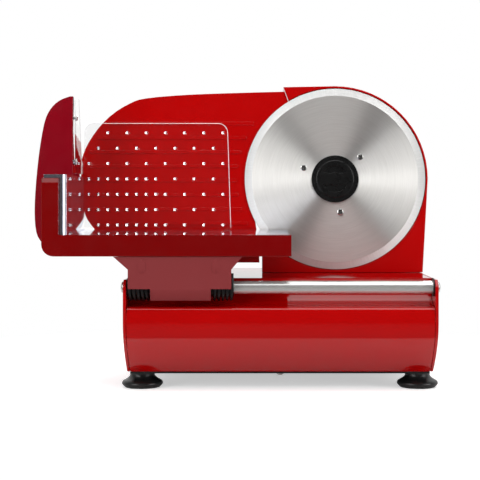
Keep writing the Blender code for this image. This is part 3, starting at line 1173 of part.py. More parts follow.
def tray_frame(spots):
    """The red frame: front bar, post, the shelf under the steel tray and its ribs."""
    left, right = -FRAME_LEFT, FRAME_RIGHT
    inner = left + FRAME_POST_WIDTH
    post_top = FRAME_Z + FRAME_POST_HEIGHT
    front = -TRAY_FRONT
    face = arc((left + FRAME_CORNER, FRAME_Z + FRAME_CORNER), FRAME_CORNER, 180.0, 270.0, 6)
    face += [(right, FRAME_Z), (right, FLOOR_Z), (inner, FLOOR_Z), (inner, post_top), (left, post_top)]
    body = outline_solid([face], "XZ", front, FRAME_BACK)
    round_edges(body, 1.2 * MM, segments=1, angle=60.0)
    shelf_top = FLOOR_Z - SHEET - GAP
    shelf_bottom = shelf_top - SHELF_THICKNESS
    shelf = (-TRAY_WALL_X, right - TRAY_RIGHT_INSET)
    back = -SHELF_REAR
    fuse(
        body,
        box(shelf, (FRAME_BACK - 2.0 * MM, back), (shelf_bottom, shelf_top)),
        box((shelf[0], shelf[0] + RIB_THICKNESS), (FRAME_BACK - 1.8 * MM, back),
            (FRAME_Z + 1.0 * MM, shelf_bottom + 1.0 * MM)),
        box((shelf[1] - RIB_THICKNESS, shelf[1]), (FRAME_BACK - 1.8 * MM, back),
            (FRAME_Z + 1.0 * MM, shelf_bottom + 1.0 * MM)),
        box(shelf, (back - RIB_THICKNESS, back), (FRAME_Z + 1.2 * MM, shelf_bottom + 1.0 * MM)),
    )
    for x, y in spots:
        fuse(body, cylinder(5.0 * MM, "Z", (x, y, 0.0), FRAME_Z, shelf_bottom + 1.0 * MM, sides=20))
        cut(body, cylinder(1.8 * MM + HOLE_GAP, "Z", (x, y, 0.0), FRAME_Z - GAP, FRAME_Z + 10.0 * MM,
                           sides=16))
    finish(body, "tray_frame", TILT, RED_DARK, 0.3)


def steel_tray():
    """Bent sheet steel: front flange, left wall and the floor that rises to the rear."""
    outer = -TRAY_WALL_X - SHEET
    front = TRAY_SHEET_FRONT
    bend = (outer - TRAY_BEND + SHEET, front + TRAY_BEND)
    path = [(-FRAME_LEFT + 1.5 * MM, front)]
    path += arc(bend, TRAY_BEND, 270.0, 360.0, 6)
    path.append((bend[0] + TRAY_BEND, TRAY_REAR))
    loop = path + offset(path, SHEET, closed=False)[::-1]
    under = FLOOR_Z - SHEET
    wall = outline_solid([loop], "XY", under, WALL_TOP)
    rear = TRAY_REAR + 1.0 * MM
    low = arc((TRAY_REAR - 34.0 * MM, FLOOR_Z + 22.0 * MM), 1.0, 270.0, 360.0, 8)
    low = [(TRAY_REAR - 34.0 * MM + (y - TRAY_REAR + 34.0 * MM) * 34.0 * MM,
            FLOOR_Z + 22.0 * MM + (z - FLOOR_Z - 22.0 * MM) * 18.5 * MM) for y, z in low]
    cutter = low + [(rear, FLOOR_Z + 22.0 * MM), (rear, low[0][1])]
    reach = (outer - 8.0 * MM, outer + 8.0 * MM)
    cut(wall, outline_solid([cutter], "YZ", *reach))
    corner = 6.0 * MM
    top = arc((TRAY_REAR - corner, WALL_TOP - corner), corner, 0.0, 90.0, 5)
    cut(wall, outline_solid([top + [(TRAY_REAR - corner, WALL_TOP + corner), (rear, WALL_TOP + corner),
                                    (rear, WALL_TOP - corner)]], "YZ", *reach))
    rise = TRAY_FLOOR_RISE
    floor = [(front, under), (TRAY_REAR, under + rise), (TRAY_REAR, FLOOR_Z + rise), (front, FLOOR_Z)]
    fuse(wall, outline_solid([floor], "YZ", -TRAY_WALL_X - SHEET * 0.6, FRAME_RIGHT - TRAY_RIGHT_INSET))
    finish(wall, "steel_tray", TILT, STEEL, 0.05, 1.0)


def spring(name, inner, outer):
    """A black torsion spring round the sleeve: one unbroken tube with a leg at each end."""
    direction = 1 if outer > inner else -1
    count = round(SPRING_POINTS * (SPRING_TURNS + 0.5))
    begin = inner + direction * SPRING_WIRE_RADIUS
    length = abs(outer - inner) - 2 * SPRING_WIRE_RADIUS
    points = [Vector((begin, SPRING_RADIUS, SPRING_LEG))]
    points.append(Vector((begin, SPRING_RADIUS, 2 * SPRING_WIRE_RADIUS)))
    for i in range(count + 1):
        angle = math.radians(180.0) * (1 - 2 * (SPRING_TURNS + 0.5) * i / count) - math.pi
        along = begin + direction * length * i / count
        points.append(Vector((along, SPRING_RADIUS * math.cos(angle), SPRING_RADIUS * math.sin(angle))))
    end = begin + direction * length
    points.append(Vector((end, -SPRING_RADIUS, 2 * SPRING_WIRE_RADIUS)))
    points.append(Vector((end, -SPRING_RADIUS, SPRING_LEG)))
    apart = SPRING_POINTS // 2 + 2
    nearest = min((points[i] - points[j]).length
                  for i in range(len(points)) for j in range(i + apart, len(points)))
    print("%s: least gap between turns %.2f mm" % (name, (nearest - 2 * SPRING_WIRE_RADIUS) / MM))
    curve = bpy.data.curves.new(name, "CURVE")
    curve.dimensions = "3D"
    curve.bevel_depth = SPRING_WIRE_RADIUS
    curve.bevel_resolution = 1
    curve.use_fill_caps = True
    spline = curve.splines.new("POLY")
    spline.points.add(len(points) - 1)
    for point, place in zip(spline.points, points):
        point.co = (*place, 1.0)
    coil = bpy.data.objects.new(name, curve)
    coil.location = (0.0, ROD_Y, ROD_Z)
    PARTS.objects.link(coil)
    coil.data.materials.append(material(name, BLACK, 0.4))
    coil.parent = CARRIAGE
    coil.location -= Vector(CARRIAGE["place"])


def sleeve_and_springs():
    """The sleeve that slides on the rod, with the springs on its ends."""
    bore = ROD_RADIUS + HOLE_GAP
    ring = [(bore, SLEEVE_RIGHT), (SLEEVE_RADIUS, SLEEVE_RIGHT), (SLEEVE_RADIUS, SLEEVE_LEFT),
            (bore, SLEEVE_LEFT)]
    finish(turned(ring, "X", (0.0, ROD_Y, ROD_Z), closed=True), "rod_sleeve", CARRIAGE, BLACK, 0.5)
    spring("torsion_spring_left", -KNUCKLE_LEFT - RUNNING_GAP, SLEEVE_LEFT)
    spring("torsion_spring_right", -KNUCKLE_RIGHT + RUNNING_GAP, SLEEVE_RIGHT)


def pusher_plate():
    """The clear plate with its teeth, its foot, and the web that carries it on the guard."""
    front, back = -PUSHER_Y, -PUSHER_Y + PUSHER_THICKNESS
    left = -TRAY_WALL_X + PUSHER_LEFT_GAP
    right = -PUSHER_RIGHT
    bottom = PUSHER_BOTTOM
    top = bottom + PUSHER_HEIGHT
    web_bottom = WALL_TOP + WEB_ABOVE_WALL
    web_low = FLOOR_Z + GUARD_LOW_Z
    corner = PUSHER_CORNER
    face = [(left, bottom), (right, bottom)]
    face += arc((right - PUSHER_LEAN - corner, top - corner), corner, 0.0, 90.0, 6)
    face += arc((left + corner, top - corner), corner, 90.0, 180.0, 6)
    face += [(left, web_low), (WEB_LEFT, web_low), (WEB_LEFT, web_bottom), (left, web_bottom)]
    plate = outline_solid([face], "XZ", front, back)
    web = [(-GUARD_FRONT + WEB_FRONT_INSET, web_bottom), (back, web_bottom), (back, web_low - WEB_REAR_DROP),
           (-GUARD_BACK_LOW, web_low), (-WEB_TOP_BACK, top + WEB_TOP_REAR_RISE),
           (-GUARD_BACK_TOP, top + WEB_TOP_RISE),
           (-GUARD_FRONT + WEB_FRONT_INSET, top - WEB_TOP_FRONT_DROP)]
    foot_z = FLOOR_Z + TRAY_FLOOR_RISE + GAP
    fuse(
        plate,
        outline_solid([web], "YZ", WEB_LEFT, WEB_LEFT + WEB_THICKNESS),
        box((right - PUSHER_FOOT_LEFT, right - PUSHER_FOOT_RIGHT),
            (front - PUSHER_FOOT_REACH, front + PUSHER_THICKNESS / 2), (foot_z, foot_z + PUSHER_FOOT_RISE)),
    )
    first_row = bottom + TOOTH_FIRST_ROW
    for row in range(TOOTH_ROWS):
        z = first_row - row * TOOTH_ROW_PITCH
        x = right - TOOTH_RIGHT_INSET - (row % 2) * TOOTH_PITCH / 2
        dense = right - TOOTH_RIGHT_INSET - TOOTH_DENSE_RUN
        end = left + (TOOTH_CORNER_INSET if row in (0, TOOTH_ROWS - 1) else TOOTH_LEFT_INSET)
        while x > end:
            bpy.ops.mesh.primitive_cone_add(
                vertices=4, radius1=TOOTH_SIZE, radius2=TOOTH_TIP, depth=TOOTH_HEIGHT + TOOTH_ROOT,
                location=(x, back + (TOOTH_HEIGHT - TOOTH_ROOT) / 2, z))
            tooth = bpy.context.object
            tooth.data.transform(AXIS_TURNS["Y"])
            move_to_parts(tooth)
            fuse(plate, tooth)
            x -= TOOTH_PITCH / 2 if row >= TOOTH_DENSE_ROW and x < dense else TOOTH_PITCH
    return plate


def pusher():
    """The clear pusher and its dark red hand guard, held together by two screws."""
    plate = pusher_plate()
    edge = smooth([(GUARD_RIGHT - x, FLOOR_Z - GUARD_BOTTOM + z) for x, z in GUARD_EDGE], GUARD_STEPS)
    top_z = edge[0][1]
    low_z = FLOOR_Z - GUARD_BOTTOM
    face = [(GUARD_RIGHT, low_z), (GUARD_RIGHT, top_z)] + edge
    waist = FLOOR_Z + GUARD_WAIST_Z
    low = FLOOR_Z + GUARD_LOW_Z
    side = [(-GUARD_FRONT, low_z), (-GUARD_BACK_LOW, low_z), (-GUARD_BACK_LOW, low)]
    side += smooth([(-GUARD_BACK_LOW - 10.5 * MM, low + 4.0 * MM),
                    (-GUARD_BACK_WAIST + 8.0 * MM, low + 11.0 * MM),
                    (-GUARD_BACK_WAIST, waist), (-GUARD_BACK_TOP, top_z + 1.0 * MM)], 3)
    side += [(-GUARD_FRONT + 3.0 * MM, top_z + 1.0 * MM), (-GUARD_FRONT, top_z - 30.0 * MM)]
    guard = outline_solid([face], "XZ", -GUARD_FRONT - 1.0 * MM, -GUARD_BACK_LOW + 1.0 * MM)
    slab = outline_solid([side], "YZ", LEFT_EXTENT - 1.0 * MM, GUARD_RIGHT + 1.0 * MM)
    combine(guard, slab, "INTERSECT")
    below = [(x, z - 5.0 * MM if z < low_z + 1.0 * MM else z) for x, z in offset(face[::-1], GUARD_WALL)]
    hollow = outline_solid([below], "XZ", -GUARD_FRONT - 1.0 * MM, -GUARD_BACK_LOW + 1.0 * MM)
    inner = [(y, z - 8.0 * MM if z < low_z + 4.0 * MM else z) for y, z in offset(side, GUARD_WALL)]
    combine(hollow, outline_solid([inner], "YZ", LEFT_EXTENT - 1.0 * MM, GUARD_RIGHT + 1.0 * MM), "INTERSECT")
    cut(guard, hollow)
    for i, height in enumerate(PUSHER_SCREW_HEIGHTS):
        spot = (0.0, -GUARD_FRONT + PUSHER_SCREW_SETBACK, WALL_TOP + height)
        hole = PUSHER_SCREW_SHANK + HOLE_GAP
        cut(plate, cylinder(hole, "X", spot, WEB_LEFT - GAP, WEB_LEFT + WEB_THICKNESS + GAP, sides=16))
        cut(guard, cylinder(hole, "X", spot, GUARD_RIGHT - 2 * GUARD_WALL, GUARD_RIGHT + GAP / 2, sides=16))
        made = screw(PUSHER_SCREW_HEAD, PUSHER_SCREW_HEAD_HEIGHT, PUSHER_SCREW_SHANK,
                     WEB_THICKNESS + GUARD_WALL + 1.0 * MM, "X", spot, WEB_LEFT + WEB_THICKNESS, 1)
        finish(made, "pusher_screw_%d" % (i + 1), PUSHER, STEEL, 0.3, 1.0)
    finish(plate, "pusher_plate", PUSHER, CLEAR, 0.05)
    finish(guard, "pusher_guard", PUSHER, RED_DARK, 0.25)


blade_housing()
rear_motor_cover()
motor()
reduction()
blade_group()
guide_plate()
thickness_knob()
rear_controls()
tray_frame(bracket())
steel_tray()
sleeve_and_springs()
pusher()
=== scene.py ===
"""Looks of a red electric food slicer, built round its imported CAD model."""
import math

import bmesh
import bpy
from mathutils import Matrix, Vector


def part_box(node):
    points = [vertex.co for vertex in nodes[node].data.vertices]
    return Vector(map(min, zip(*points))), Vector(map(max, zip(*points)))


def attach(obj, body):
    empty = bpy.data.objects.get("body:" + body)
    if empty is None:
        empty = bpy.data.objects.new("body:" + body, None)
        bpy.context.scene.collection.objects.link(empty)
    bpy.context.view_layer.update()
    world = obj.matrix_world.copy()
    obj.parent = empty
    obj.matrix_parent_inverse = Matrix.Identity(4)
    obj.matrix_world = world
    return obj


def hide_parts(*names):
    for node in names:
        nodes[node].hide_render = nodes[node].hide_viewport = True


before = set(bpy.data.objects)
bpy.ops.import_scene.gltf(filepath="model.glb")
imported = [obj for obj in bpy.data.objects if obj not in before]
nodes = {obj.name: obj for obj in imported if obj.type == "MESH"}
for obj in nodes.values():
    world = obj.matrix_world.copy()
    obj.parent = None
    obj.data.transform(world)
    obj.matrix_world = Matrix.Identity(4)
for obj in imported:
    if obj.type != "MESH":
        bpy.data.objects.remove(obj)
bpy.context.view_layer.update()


# Camera: square to the front and level, on a long lens that is shifted to the right and
# down, so that the slicer keeps its place in the frame.
FRAME_SIDE = 480
lens = bpy.data.cameras.new("product_camera")
lens.sensor_width = 36.0
lens.lens = 89.03
lens.shift_x = -22 / FRAME_SIDE
lens.shift_y = -37 / FRAME_SIDE
lens.clip_end = 50.0
camera = bpy.data.objects.new("product_camera", lens)
camera.location = (0.02598, -1.24315, 0.1828)
camera.rotation_euler = (math.pi / 2, 0.0, 0.0)
bpy.context.scene.collection.objects.link(camera)
bpy.context.scene.camera = camera
bpy.context.scene.view_settings.view_transform = "Standard"


# Room: white to the eye, and a soft even grey that fills the shadows. In reflections and
# through clear plastic it is white behind the slicer and dark in front of it.
def join(tree, node, sockets):
    """Set a node's sockets to values, or link them to other sockets."""
    for key, value in sockets.items():
        if isinstance(value, bpy.types.NodeSocket):
            tree.links.new(value, node.inputs[key])
        else:
            node.inputs[key].default_value = value


def add(tree, kind, sockets=None, **settings):
    """One node with its settings and its sockets."""
    made = tree.nodes.new(kind)
    for key, value in settings.items():
        setattr(made, key, value)
    join(tree, made, sockets or {})
    return made


def sums(tree, operation, *values):
    """One Math node's result."""
    return add(tree, "ShaderNodeMath", dict(enumerate(values)), operation=operation).outputs[0]


def ramp(tree, value, start, end, low=0.0, high=1.0):
    """A value that runs from low to high as another one runs from start to end."""
    return add(tree, "ShaderNodeMapRange", {"Value": value, "From Min": start, "From Max": end,
                                            "To Min": low, "To Max": high}).outputs[0]


WHITE = (1.0, 1.0, 1.0, 1.0)
FILL = 0.32
DARKEST = 0.05
DARK_UNTIL, WHITE_FROM = -0.20, 0.50
world = bpy.data.worlds.new("studio")
bpy.context.scene.world = world
world.use_nodes = True
tree = world.node_tree
tree.nodes.clear()
path = add(tree, "ShaderNodeLightPath").outputs
direction = add(tree, "ShaderNodeTexCoord").outputs["Generated"]
backwards = add(tree, "ShaderNodeSeparateXYZ", {0: direction}).outputs["Y"]
behind = ramp(tree, backwards, DARK_UNTIL, WHITE_FROM, DARKEST, 1.0)
mirrored = sums(tree, "MAXIMUM", path["Is Glossy Ray"], path["Is Transmission Ray"])
level = sums(tree, "MULTIPLY_ADD", mirrored, sums(tree, "SUBTRACT", behind, FILL), FILL)
level = sums(tree, "MAXIMUM", level, path["Is Camera Ray"])
light = add(tree, "ShaderNodeBackground", {"Color": WHITE, "Strength": level})
add(tree, "ShaderNodeOutputWorld", {"Surface": light.outputs[0]})


# Table: one wide pale sheet that keeps the slicer's shadow and runs out into plain white.
# In reflections it ends close in front of the base and dims from there, which draws the
# band along the base's lower half.
def loose(form, name):
    """A bmesh as an object that isn't linked yet. The bmesh is freed."""
    mesh = bpy.data.meshes.new(name)
    form.to_mesh(mesh)
    form.free()
    return bpy.data.objects.new(name, mesh)


MM = 0.001
FADE_START, FADE_END = 0.26, 0.50
MIRROR_EDGE = -0.143
MIRROR_EDGE_WIDTH = 0.007
DIM_START, DIM_END = -0.16, -0.90
DIM_LEVEL = 0.20
GLOW = 0.5
sheet = bmesh.new()
bmesh.ops.create_grid(sheet, x_segments=1, y_segments=1, size=4.0)
table = loose(sheet, "table")
table.location.z = -0.5 * MM
bpy.context.scene.collection.objects.link(table)
paper = bpy.data.materials.new("pale_table")
paper.use_nodes = True
tree = paper.node_tree
tree.nodes.clear()
path = add(tree, "ShaderNodeLightPath").outputs
spot = add(tree, "ShaderNodeTexCoord").outputs["Object"]
away = add(tree, "ShaderNodeVectorMath", {0: spot}, operation="LENGTH").outputs["Value"]
far = ramp(tree, away, FADE_START, FADE_END)
forward = add(tree, "ShaderNodeSeparateXYZ", {0: spot}).outputs["Y"]
ended = ramp(tree, forward, MIRROR_EDGE, MIRROR_EDGE - MIRROR_EDGE_WIDTH)
dimming = ramp(tree, forward, DIM_START, DIM_END, DIM_LEVEL, DARKEST)
seen = sums(tree, "MAXIMUM", path["Is Camera Ray"], path["Is Transmission Ray"])
matt = add(tree, "ShaderNodeBsdfDiffuse", {"Color": (0.86, 0.86, 0.86, 1.0)})
glow = add(tree, "ShaderNodeEmission", {"Color": WHITE, "Strength": sums(tree, "MULTIPLY", seen, GLOW)})
white = add(tree, "ShaderNodeEmission", {"Color": WHITE, "Strength": 1.0})
dim = add(tree, "ShaderNodeEmission", {"Color": WHITE, "Strength": dimming})
lit_sheet = add(tree, "ShaderNodeAddShader", {0: matt.outputs[0], 1: glow.outputs[0]})
faded_sheet = add(tree, "ShaderNodeMixShader",
                  {0: sums(tree, "MULTIPLY", seen, far), 1: lit_sheet.outputs[0], 2: white.outputs[0]})
whole_sheet = add(tree, "ShaderNodeMixShader", {0: sums(tree, "MULTIPLY", path["Is Glossy Ray"], ended),
                                                1: faded_sheet.outputs[0], 2: dim.outputs[0]})
add(tree, "ShaderNodeOutputMaterial", {"Surface": whole_sheet.outputs[0]})
table.data.materials.append(paper)


# Lamps: a tall softbox on each side, which draws the bright fans on the blade, one over
# the top, and one behind for the back and the edges.
def softbox(name, place, target, width, height, watts):
    """One area lamp, turned to its target."""
    data = bpy.data.lights.new(name, "AREA")
    data.shape = "RECTANGLE"
    data.size = width
    data.size_y = height
    data.energy = watts
    lamp = bpy.data.objects.new(name, data)
    lamp.location = place
    lamp.rotation_euler = (Vector(target) - Vector(place)).to_track_quat("-Z", "Y").to_euler()
    bpy.context.scene.collection.objects.link(lamp)


softbox("left_softbox", (-1.25, -1.45, 0.6), (0.0, 0.0, 0.15), 0.8, 1.4, 21.0)
softbox("right_softbox", (1.65, -1.1, 0.6), (0.0, 0.0, 0.15), 0.9, 1.5, 23.0)
softbox("top_softbox", (0.0, -0.55, 1.8), (0.0, 0.0, 0.1), 1.7, 1.4, 20.0)
softbox("rear_softbox", (0.0, 1.9, 1.1), (0.0, 0.0, 0.15), 1.8, 1.0, 22.0)


# Base: folded sheet steel, sprayed and baked in a deep glossy red, with two end plates in
# the same paint. The coat has a faint ripple and a little handling haze.
def effect(name, inputs, outputs):
    """A shader node group with its sockets, for an effect that several finishes use."""
    group = bpy.data.node_groups.new(name, "ShaderNodeTree")
    for label, kind in inputs:
        group.interface.new_socket(label, in_out="INPUT", socket_type="NodeSocket" + kind)
    for label, kind in outputs:
        group.interface.new_socket(label, in_out="OUTPUT", socket_type="NodeSocket" + kind)
    return group, group.nodes.new("NodeGroupInput").outputs, group.nodes.new("NodeGroupOutput")


def mixed(tree, factor, first, second):
    """A colour between two colours."""
    return add(tree, "ShaderNodeMix", {"Factor": factor, 6: first, 7: second}, data_type="RGBA").outputs[2]


drift, into, out = effect(
    "coat_drift",
    (("Place", "Vector"), ("Scale", "Float"), ("Colour", "Color"), ("Shade", "Color"),
     ("Smooth", "Float"), ("Dull", "Float")),
    (("Colour", "Color"), ("Roughness", "Float")))
clouds = add(drift, "ShaderNodeTexNoise", {"Vector": into["Place"], "Scale": into["Scale"], "Detail": 3.0})
smears = add(drift, "ShaderNodeTexNoise",
             {"Vector": into["Place"], "Scale": sums(drift, "MULTIPLY", into["Scale"], 5.0), "Detail": 5.0})
join(drift, out, {"Colour": mixed(drift, clouds.outputs["Fac"], into["Colour"], into["Shade"]),
                  "Roughness": ramp(drift, smears.outputs["Fac"], 0.35, 0.7, into["Smooth"], into["Dull"])})

grain, into, out = effect("fine_grain", (("Place", "Vector"), ("Scale", "Float")), (("Height", "Float"),))
specks = add(grain, "ShaderNodeTexNoise",
             {"Vector": into["Place"], "Scale": into["Scale"], "Detail": 4.0, "Roughness": 0.6})
join(grain, out, {"Height": specks.outputs["Fac"]})


def new_finish(name):
    """A new material, with its node tree, its shader and its Object coordinates."""
    made = bpy.data.materials.new(name)
    made.use_nodes = True
    tree = made.node_tree
    return made, tree, tree.nodes["Principled BSDF"], add(tree, "ShaderNodeTexCoord").outputs["Object"]


def relief(tree, height, strength, depth):
    """The normal of a fine relief."""
    return add(tree, "ShaderNodeBump", {"Strength": strength, "Distance": depth, "Height": height}).outputs[0]


def coat(name, colour, shade, rough, grain_scale, grain_depth, drift_scale=14.0, **plain):
    """Paint, plastic or rubber that drifts in colour and gloss and has a fine grain.

    Further sockets of the shader go by name, with _ for a space.
    """
    made, tree, shader, place = new_finish(name)
    clouds = add(tree, "ShaderNodeGroup",
                 {"Place": place, "Scale": drift_scale, "Colour": (*colour, 1.0), "Shade": (*shade, 1.0),
                  "Smooth": rough[0], "Dull": rough[1]}, node_tree=drift).outputs
    specks = add(tree, "ShaderNodeGroup", {"Place": place, "Scale": grain_scale}, node_tree=grain)
    join(tree, shader, {"Base Color": clouds["Colour"], "Roughness": clouds["Roughness"],
                        "Normal": relief(tree, specks.outputs["Height"], 0.6, grain_depth)})
    join(tree, shader, {label.replace("_", " "): value for label, value in plain.items()})
    return made


WELD = 0.001 * MM
SHARP = 32.0


def piece_from(form, name, material, body, slot, *stands_for, angle=SHARP):
    """Turn a bmesh into a finished piece on its body, in place of its CAD nodes."""
    bmesh.ops.remove_doubles(form, verts=form.verts, dist=WELD)
    piece = loose(form, name)
    piece.data.shade_smooth()
    piece.data.set_sharp_from_angle(angle=math.radians(angle))
    piece.data.materials.append(material)
    bpy.context.scene.collection.objects.link(piece)
    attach(piece, body)
    if stands_for:
        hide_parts(*stands_for)
    return piece


def cad_form(source):
    """A CAD node's form as a bmesh, with its flat faces joined up again."""
    form = bmesh.new()
    form.from_mesh(nodes[source].data)
    bmesh.ops.remove_doubles(form, verts=form.verts, dist=4 * WELD)
    bmesh.ops.dissolve_limit(form, angle_limit=math.radians(0.6), verts=form.verts, edges=form.edges)
    return form


def softened(form, name, material, body, slot, width, *stands_for, segments=3):
    """A finished piece with its sharp edges softly rounded, in place of its CAD nodes."""
    piece = piece_from(form, name, material, body, slot, *stands_for, angle=180.0)
    soft = piece.modifiers.new("rounded_edges", "BEVEL")
    soft.width = width
    soft.segments = segments
    soft.limit_method = "ANGLE"
    soft.angle_limit = math.radians(SHARP)
    even = piece.modifiers.new("even_faces", "WEIGHTED_NORMAL")
    even.mode = "FACE_AREA"
    even.weight = 100
    return piece


def rounded(source, name, material, body, slot, width):
    """A CAD node's form again, softly rounded, in place of the node."""
    return softened(cad_form(source), name, material, body, slot, width, source)


red_paint = coat("red_paint", (0.37, 0.0005, 0.0006), (0.31, 0.0004, 0.0005), (0.05, 0.09), 260.0, 0.02 * MM)
rounded("base_shell", "painted_base", red_paint, "base", "red_gloss_metal", 0.5 * MM)
rounded("end_plate_left", "left_end_plate", red_paint, "base", "red_gloss_metal", 0.9 * MM)
rounded("end_plate_right", "right_end_plate", red_paint, "base", "red_gloss_metal", 0.9 * MM)


# Underside: a black sprayed steel plate, and four soft black suction cups, each moulded
# with a neck, a flared skirt and a thin lip that spreads on the table.
def dress(material, *names):
    """Give CAD nodes that keep their shape their finish."""
    for name in names:
        nodes[name].data.materials.clear()
        nodes[name].data.materials.append(material)


SOOT, WORN_SOOT = (0.004, 0.004, 0.004), (0.007, 0.007, 0.007)
black_paint = coat("black_sprayed_steel", SOOT, WORN_SOOT, (0.30, 0.45), 900.0, 0.06 * MM,
                   Specular_IOR_Level=0.35)
dress(black_paint, "bottom_plate", "rod_washer_left", "rod_washer_right")
rubber = coat("black_rubber", SOOT, WORN_SOOT, (0.30, 0.44), 700.0, 0.05 * MM, drift_scale=40.0,
              Specular_IOR_Level=0.4)


def spun(profile, axis, centre, steps=96):
    """A turned form. The profile is (radius, place along the axis) from one end to the other."""
    along = Vector([1.0 if letter == axis else 0.0 for letter in "XYZ"])
    across = Vector((0.0, 0.0, 1.0)) if axis != "Z" else Vector((1.0, 0.0, 0.0))
    middle = Vector(centre)
    middle -= along * middle.dot(along)
    form = bmesh.new()
    line = [form.verts.new(middle + across * radius + along * place) for radius, place in profile]
    edges = [form.edges.new(pair) for pair in zip(line, line[1:])]
    bmesh.ops.spin(form, geom=line + edges, cent=middle, axis=along, angle=2 * math.pi, steps=steps,
                   use_merge=True)
    bmesh.ops.remove_doubles(form, verts=form.verts, dist=WELD)
    bmesh.ops.recalc_face_normals(form, faces=form.faces)
    return form


NECK = 12.5 * MM
for spot in ("front_left", "front_right", "rear_left", "rear_right"):
    low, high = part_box("foot_" + spot)
    lip = (high.x - low.x) / 2
    top = high.z
    cup = [(0.0, top), (NECK - 0.4 * MM, top), (NECK, top - 0.4 * MM), (NECK - 0.3 * MM, top * 0.80),
           (NECK + 0.4 * MM, top * 0.70), (NECK + 2.2 * MM, top * 0.59), (lip - 3.2 * MM, top * 0.49),
           (lip - 0.9 * MM, top * 0.40), (lip - 0.1 * MM, top * 0.31), (lip, top * 0.25),
           (lip - 0.5 * MM, top * 0.17), (lip - 1.6 * MM, top * 0.09), (lip - 2.9 * MM, 0.0),
           (lip - 6.5 * MM, 0.0), (lip - 8.0 * MM, top * 0.10), (lip * 0.45, top * 0.24),
           (0.0, top * 0.33)]
    piece_from(spun(cup, "Z", (low + high) / 2), "suction_cup_" + spot, rubber, "base", "black_rubber",
               "foot_" + spot, angle=50.0)


# Rod and its hardware: a ground steel rod across the front, held by domed steel screws
# through the end plates. The same cross screws, in other sizes, hold the rest together.
lines, into, out = effect("drawn_lines", (("Place", "Vector"), ("Stretch", "Vector")), (("Line", "Float"),))
pulled = add(lines, "ShaderNodeVectorMath", {0: into["Place"], 1: into["Stretch"]}, operation="MULTIPLY")
streaks = add(lines, "ShaderNodeTexNoise", {"Vector": pulled.outputs[0], "Scale": 1.0, "Detail": 3.0})
join(lines, out, {"Line": streaks.outputs["Fac"]})


def drawn(tree, place, stretch):
    """Fine lines. Stretch gives how many cross each axis, per metre."""
    return add(tree, "ShaderNodeGroup", {"Place": place, "Stretch": stretch}, node_tree=lines).outputs["Line"]


def metal(name, colour, shade, rough, stretch, depth, metallic=1.0):
    """A metal with fine drawn lines, which change its colour, gloss and relief a little."""
    made, tree, shader, place = new_finish(name)
    line = drawn(tree, place, stretch)
    join(tree, shader, {"Base Color": mixed(tree, line, (*colour, 1.0), (*shade, 1.0)),
                        "Roughness": ramp(tree, line, 0.3, 0.7, *rough),
                        "Normal": relief(tree, line, 0.5, depth), "Metallic": metallic})
    return made


ground_steel = metal("ground_steel", (0.82, 0.81, 0.79), (0.74, 0.73, 0.71), (0.18, 0.26),
                     (300.0, 90.0, 90.0), 0.01 * MM, metallic=0.75)
dress(ground_steel, "slide_rod")
screw_steel = metal("screw_steel", (0.66, 0.65, 0.63), (0.52, 0.51, 0.50), (0.16, 0.30),
                    (500.0, 500.0, 500.0), 0.03 * MM)


def shape_of(holder):
    """The finished mesh of a text, a curve or an object with modifiers. The holder then goes."""
    bpy.context.scene.collection.objects.link(holder)
    graph = bpy.context.evaluated_depsgraph_get()
    mesh = bpy.data.meshes.new_from_object(holder.evaluated_get(graph))
    bpy.data.objects.remove(holder, do_unlink=True)
    return mesh


RECESS_LENGTH = 1.15
RECESS_WIDTH = 0.26


def cross_screw(node, axis, side, head, shank, body, turn):
    """A domed screw with a cross recess, in place of its plain node. Side is where its head looks."""
    low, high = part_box(node)
    line = "XYZ".index(axis)
    centre = (low + high) / 2
    radius = max(high[i] - low[i] for i in range(3) if i != line) / 2
    tip, end = (high[line], low[line]) if side > 0 else (low[line], high[line])
    seat = tip - side * head
    outline = [(0.0, end), (shank, end), (shank, seat), (radius * 0.97, seat),
               (radius, seat + side * head * 0.12)]
    for degrees in (12, 24, 36, 50, 65, 78):
        slope = math.radians(degrees)
        outline.append((radius * math.cos(slope), seat + side * head * (0.2 + 0.8 * math.sin(slope))))
    outline.append((0.0, tip))
    blank = loose(spun(outline, axis, centre, steps=40), "screw_blank")
    place = Matrix.Translation(centre)
    place.translation[line] = tip
    size = [radius * RECESS_LENGTH, radius * RECESS_WIDTH]
    size.insert(line, head)
    cutters = []
    for quarter in (0.0, 90.0):
        bar = bmesh.new()
        bmesh.ops.create_cube(bar, size=1.0)
        bmesh.ops.transform(bar, matrix=place @ Matrix.Rotation(math.radians(turn + quarter), 4, axis)
                            @ Matrix.Diagonal((*size, 1.0)), verts=bar.verts)
        cutter = loose(bar, "recess")
        bpy.context.scene.collection.objects.link(cutter)
        cutters.append(cutter)
        recess = blank.modifiers.new("recess", "BOOLEAN")
        recess.operation = "DIFFERENCE"
        recess.object = cutter
    form = bmesh.new()
    form.from_mesh(shape_of(blank))
    for cutter in cutters:
        bpy.data.objects.remove(cutter, do_unlink=True)
    piece_from(form, node + "_cross", screw_steel, body, "bright_steel", node, angle=35.0)


cross_screw("rod_screw_left", "X", -1, 3.0 * MM, 3.0 * MM, "base", 15.0)
cross_screw("rod_screw_right", "X", 1, 3.0 * MM, 3.0 * MM, "base", 50.0)
cross_screw("bottom_screw_front", "Z", -1, 2.0 * MM, 1.6 * MM, "base", 30.0)
cross_screw("bottom_screw_rear", "Z", -1, 2.0 * MM, 1.6 * MM, "base", 70.0)


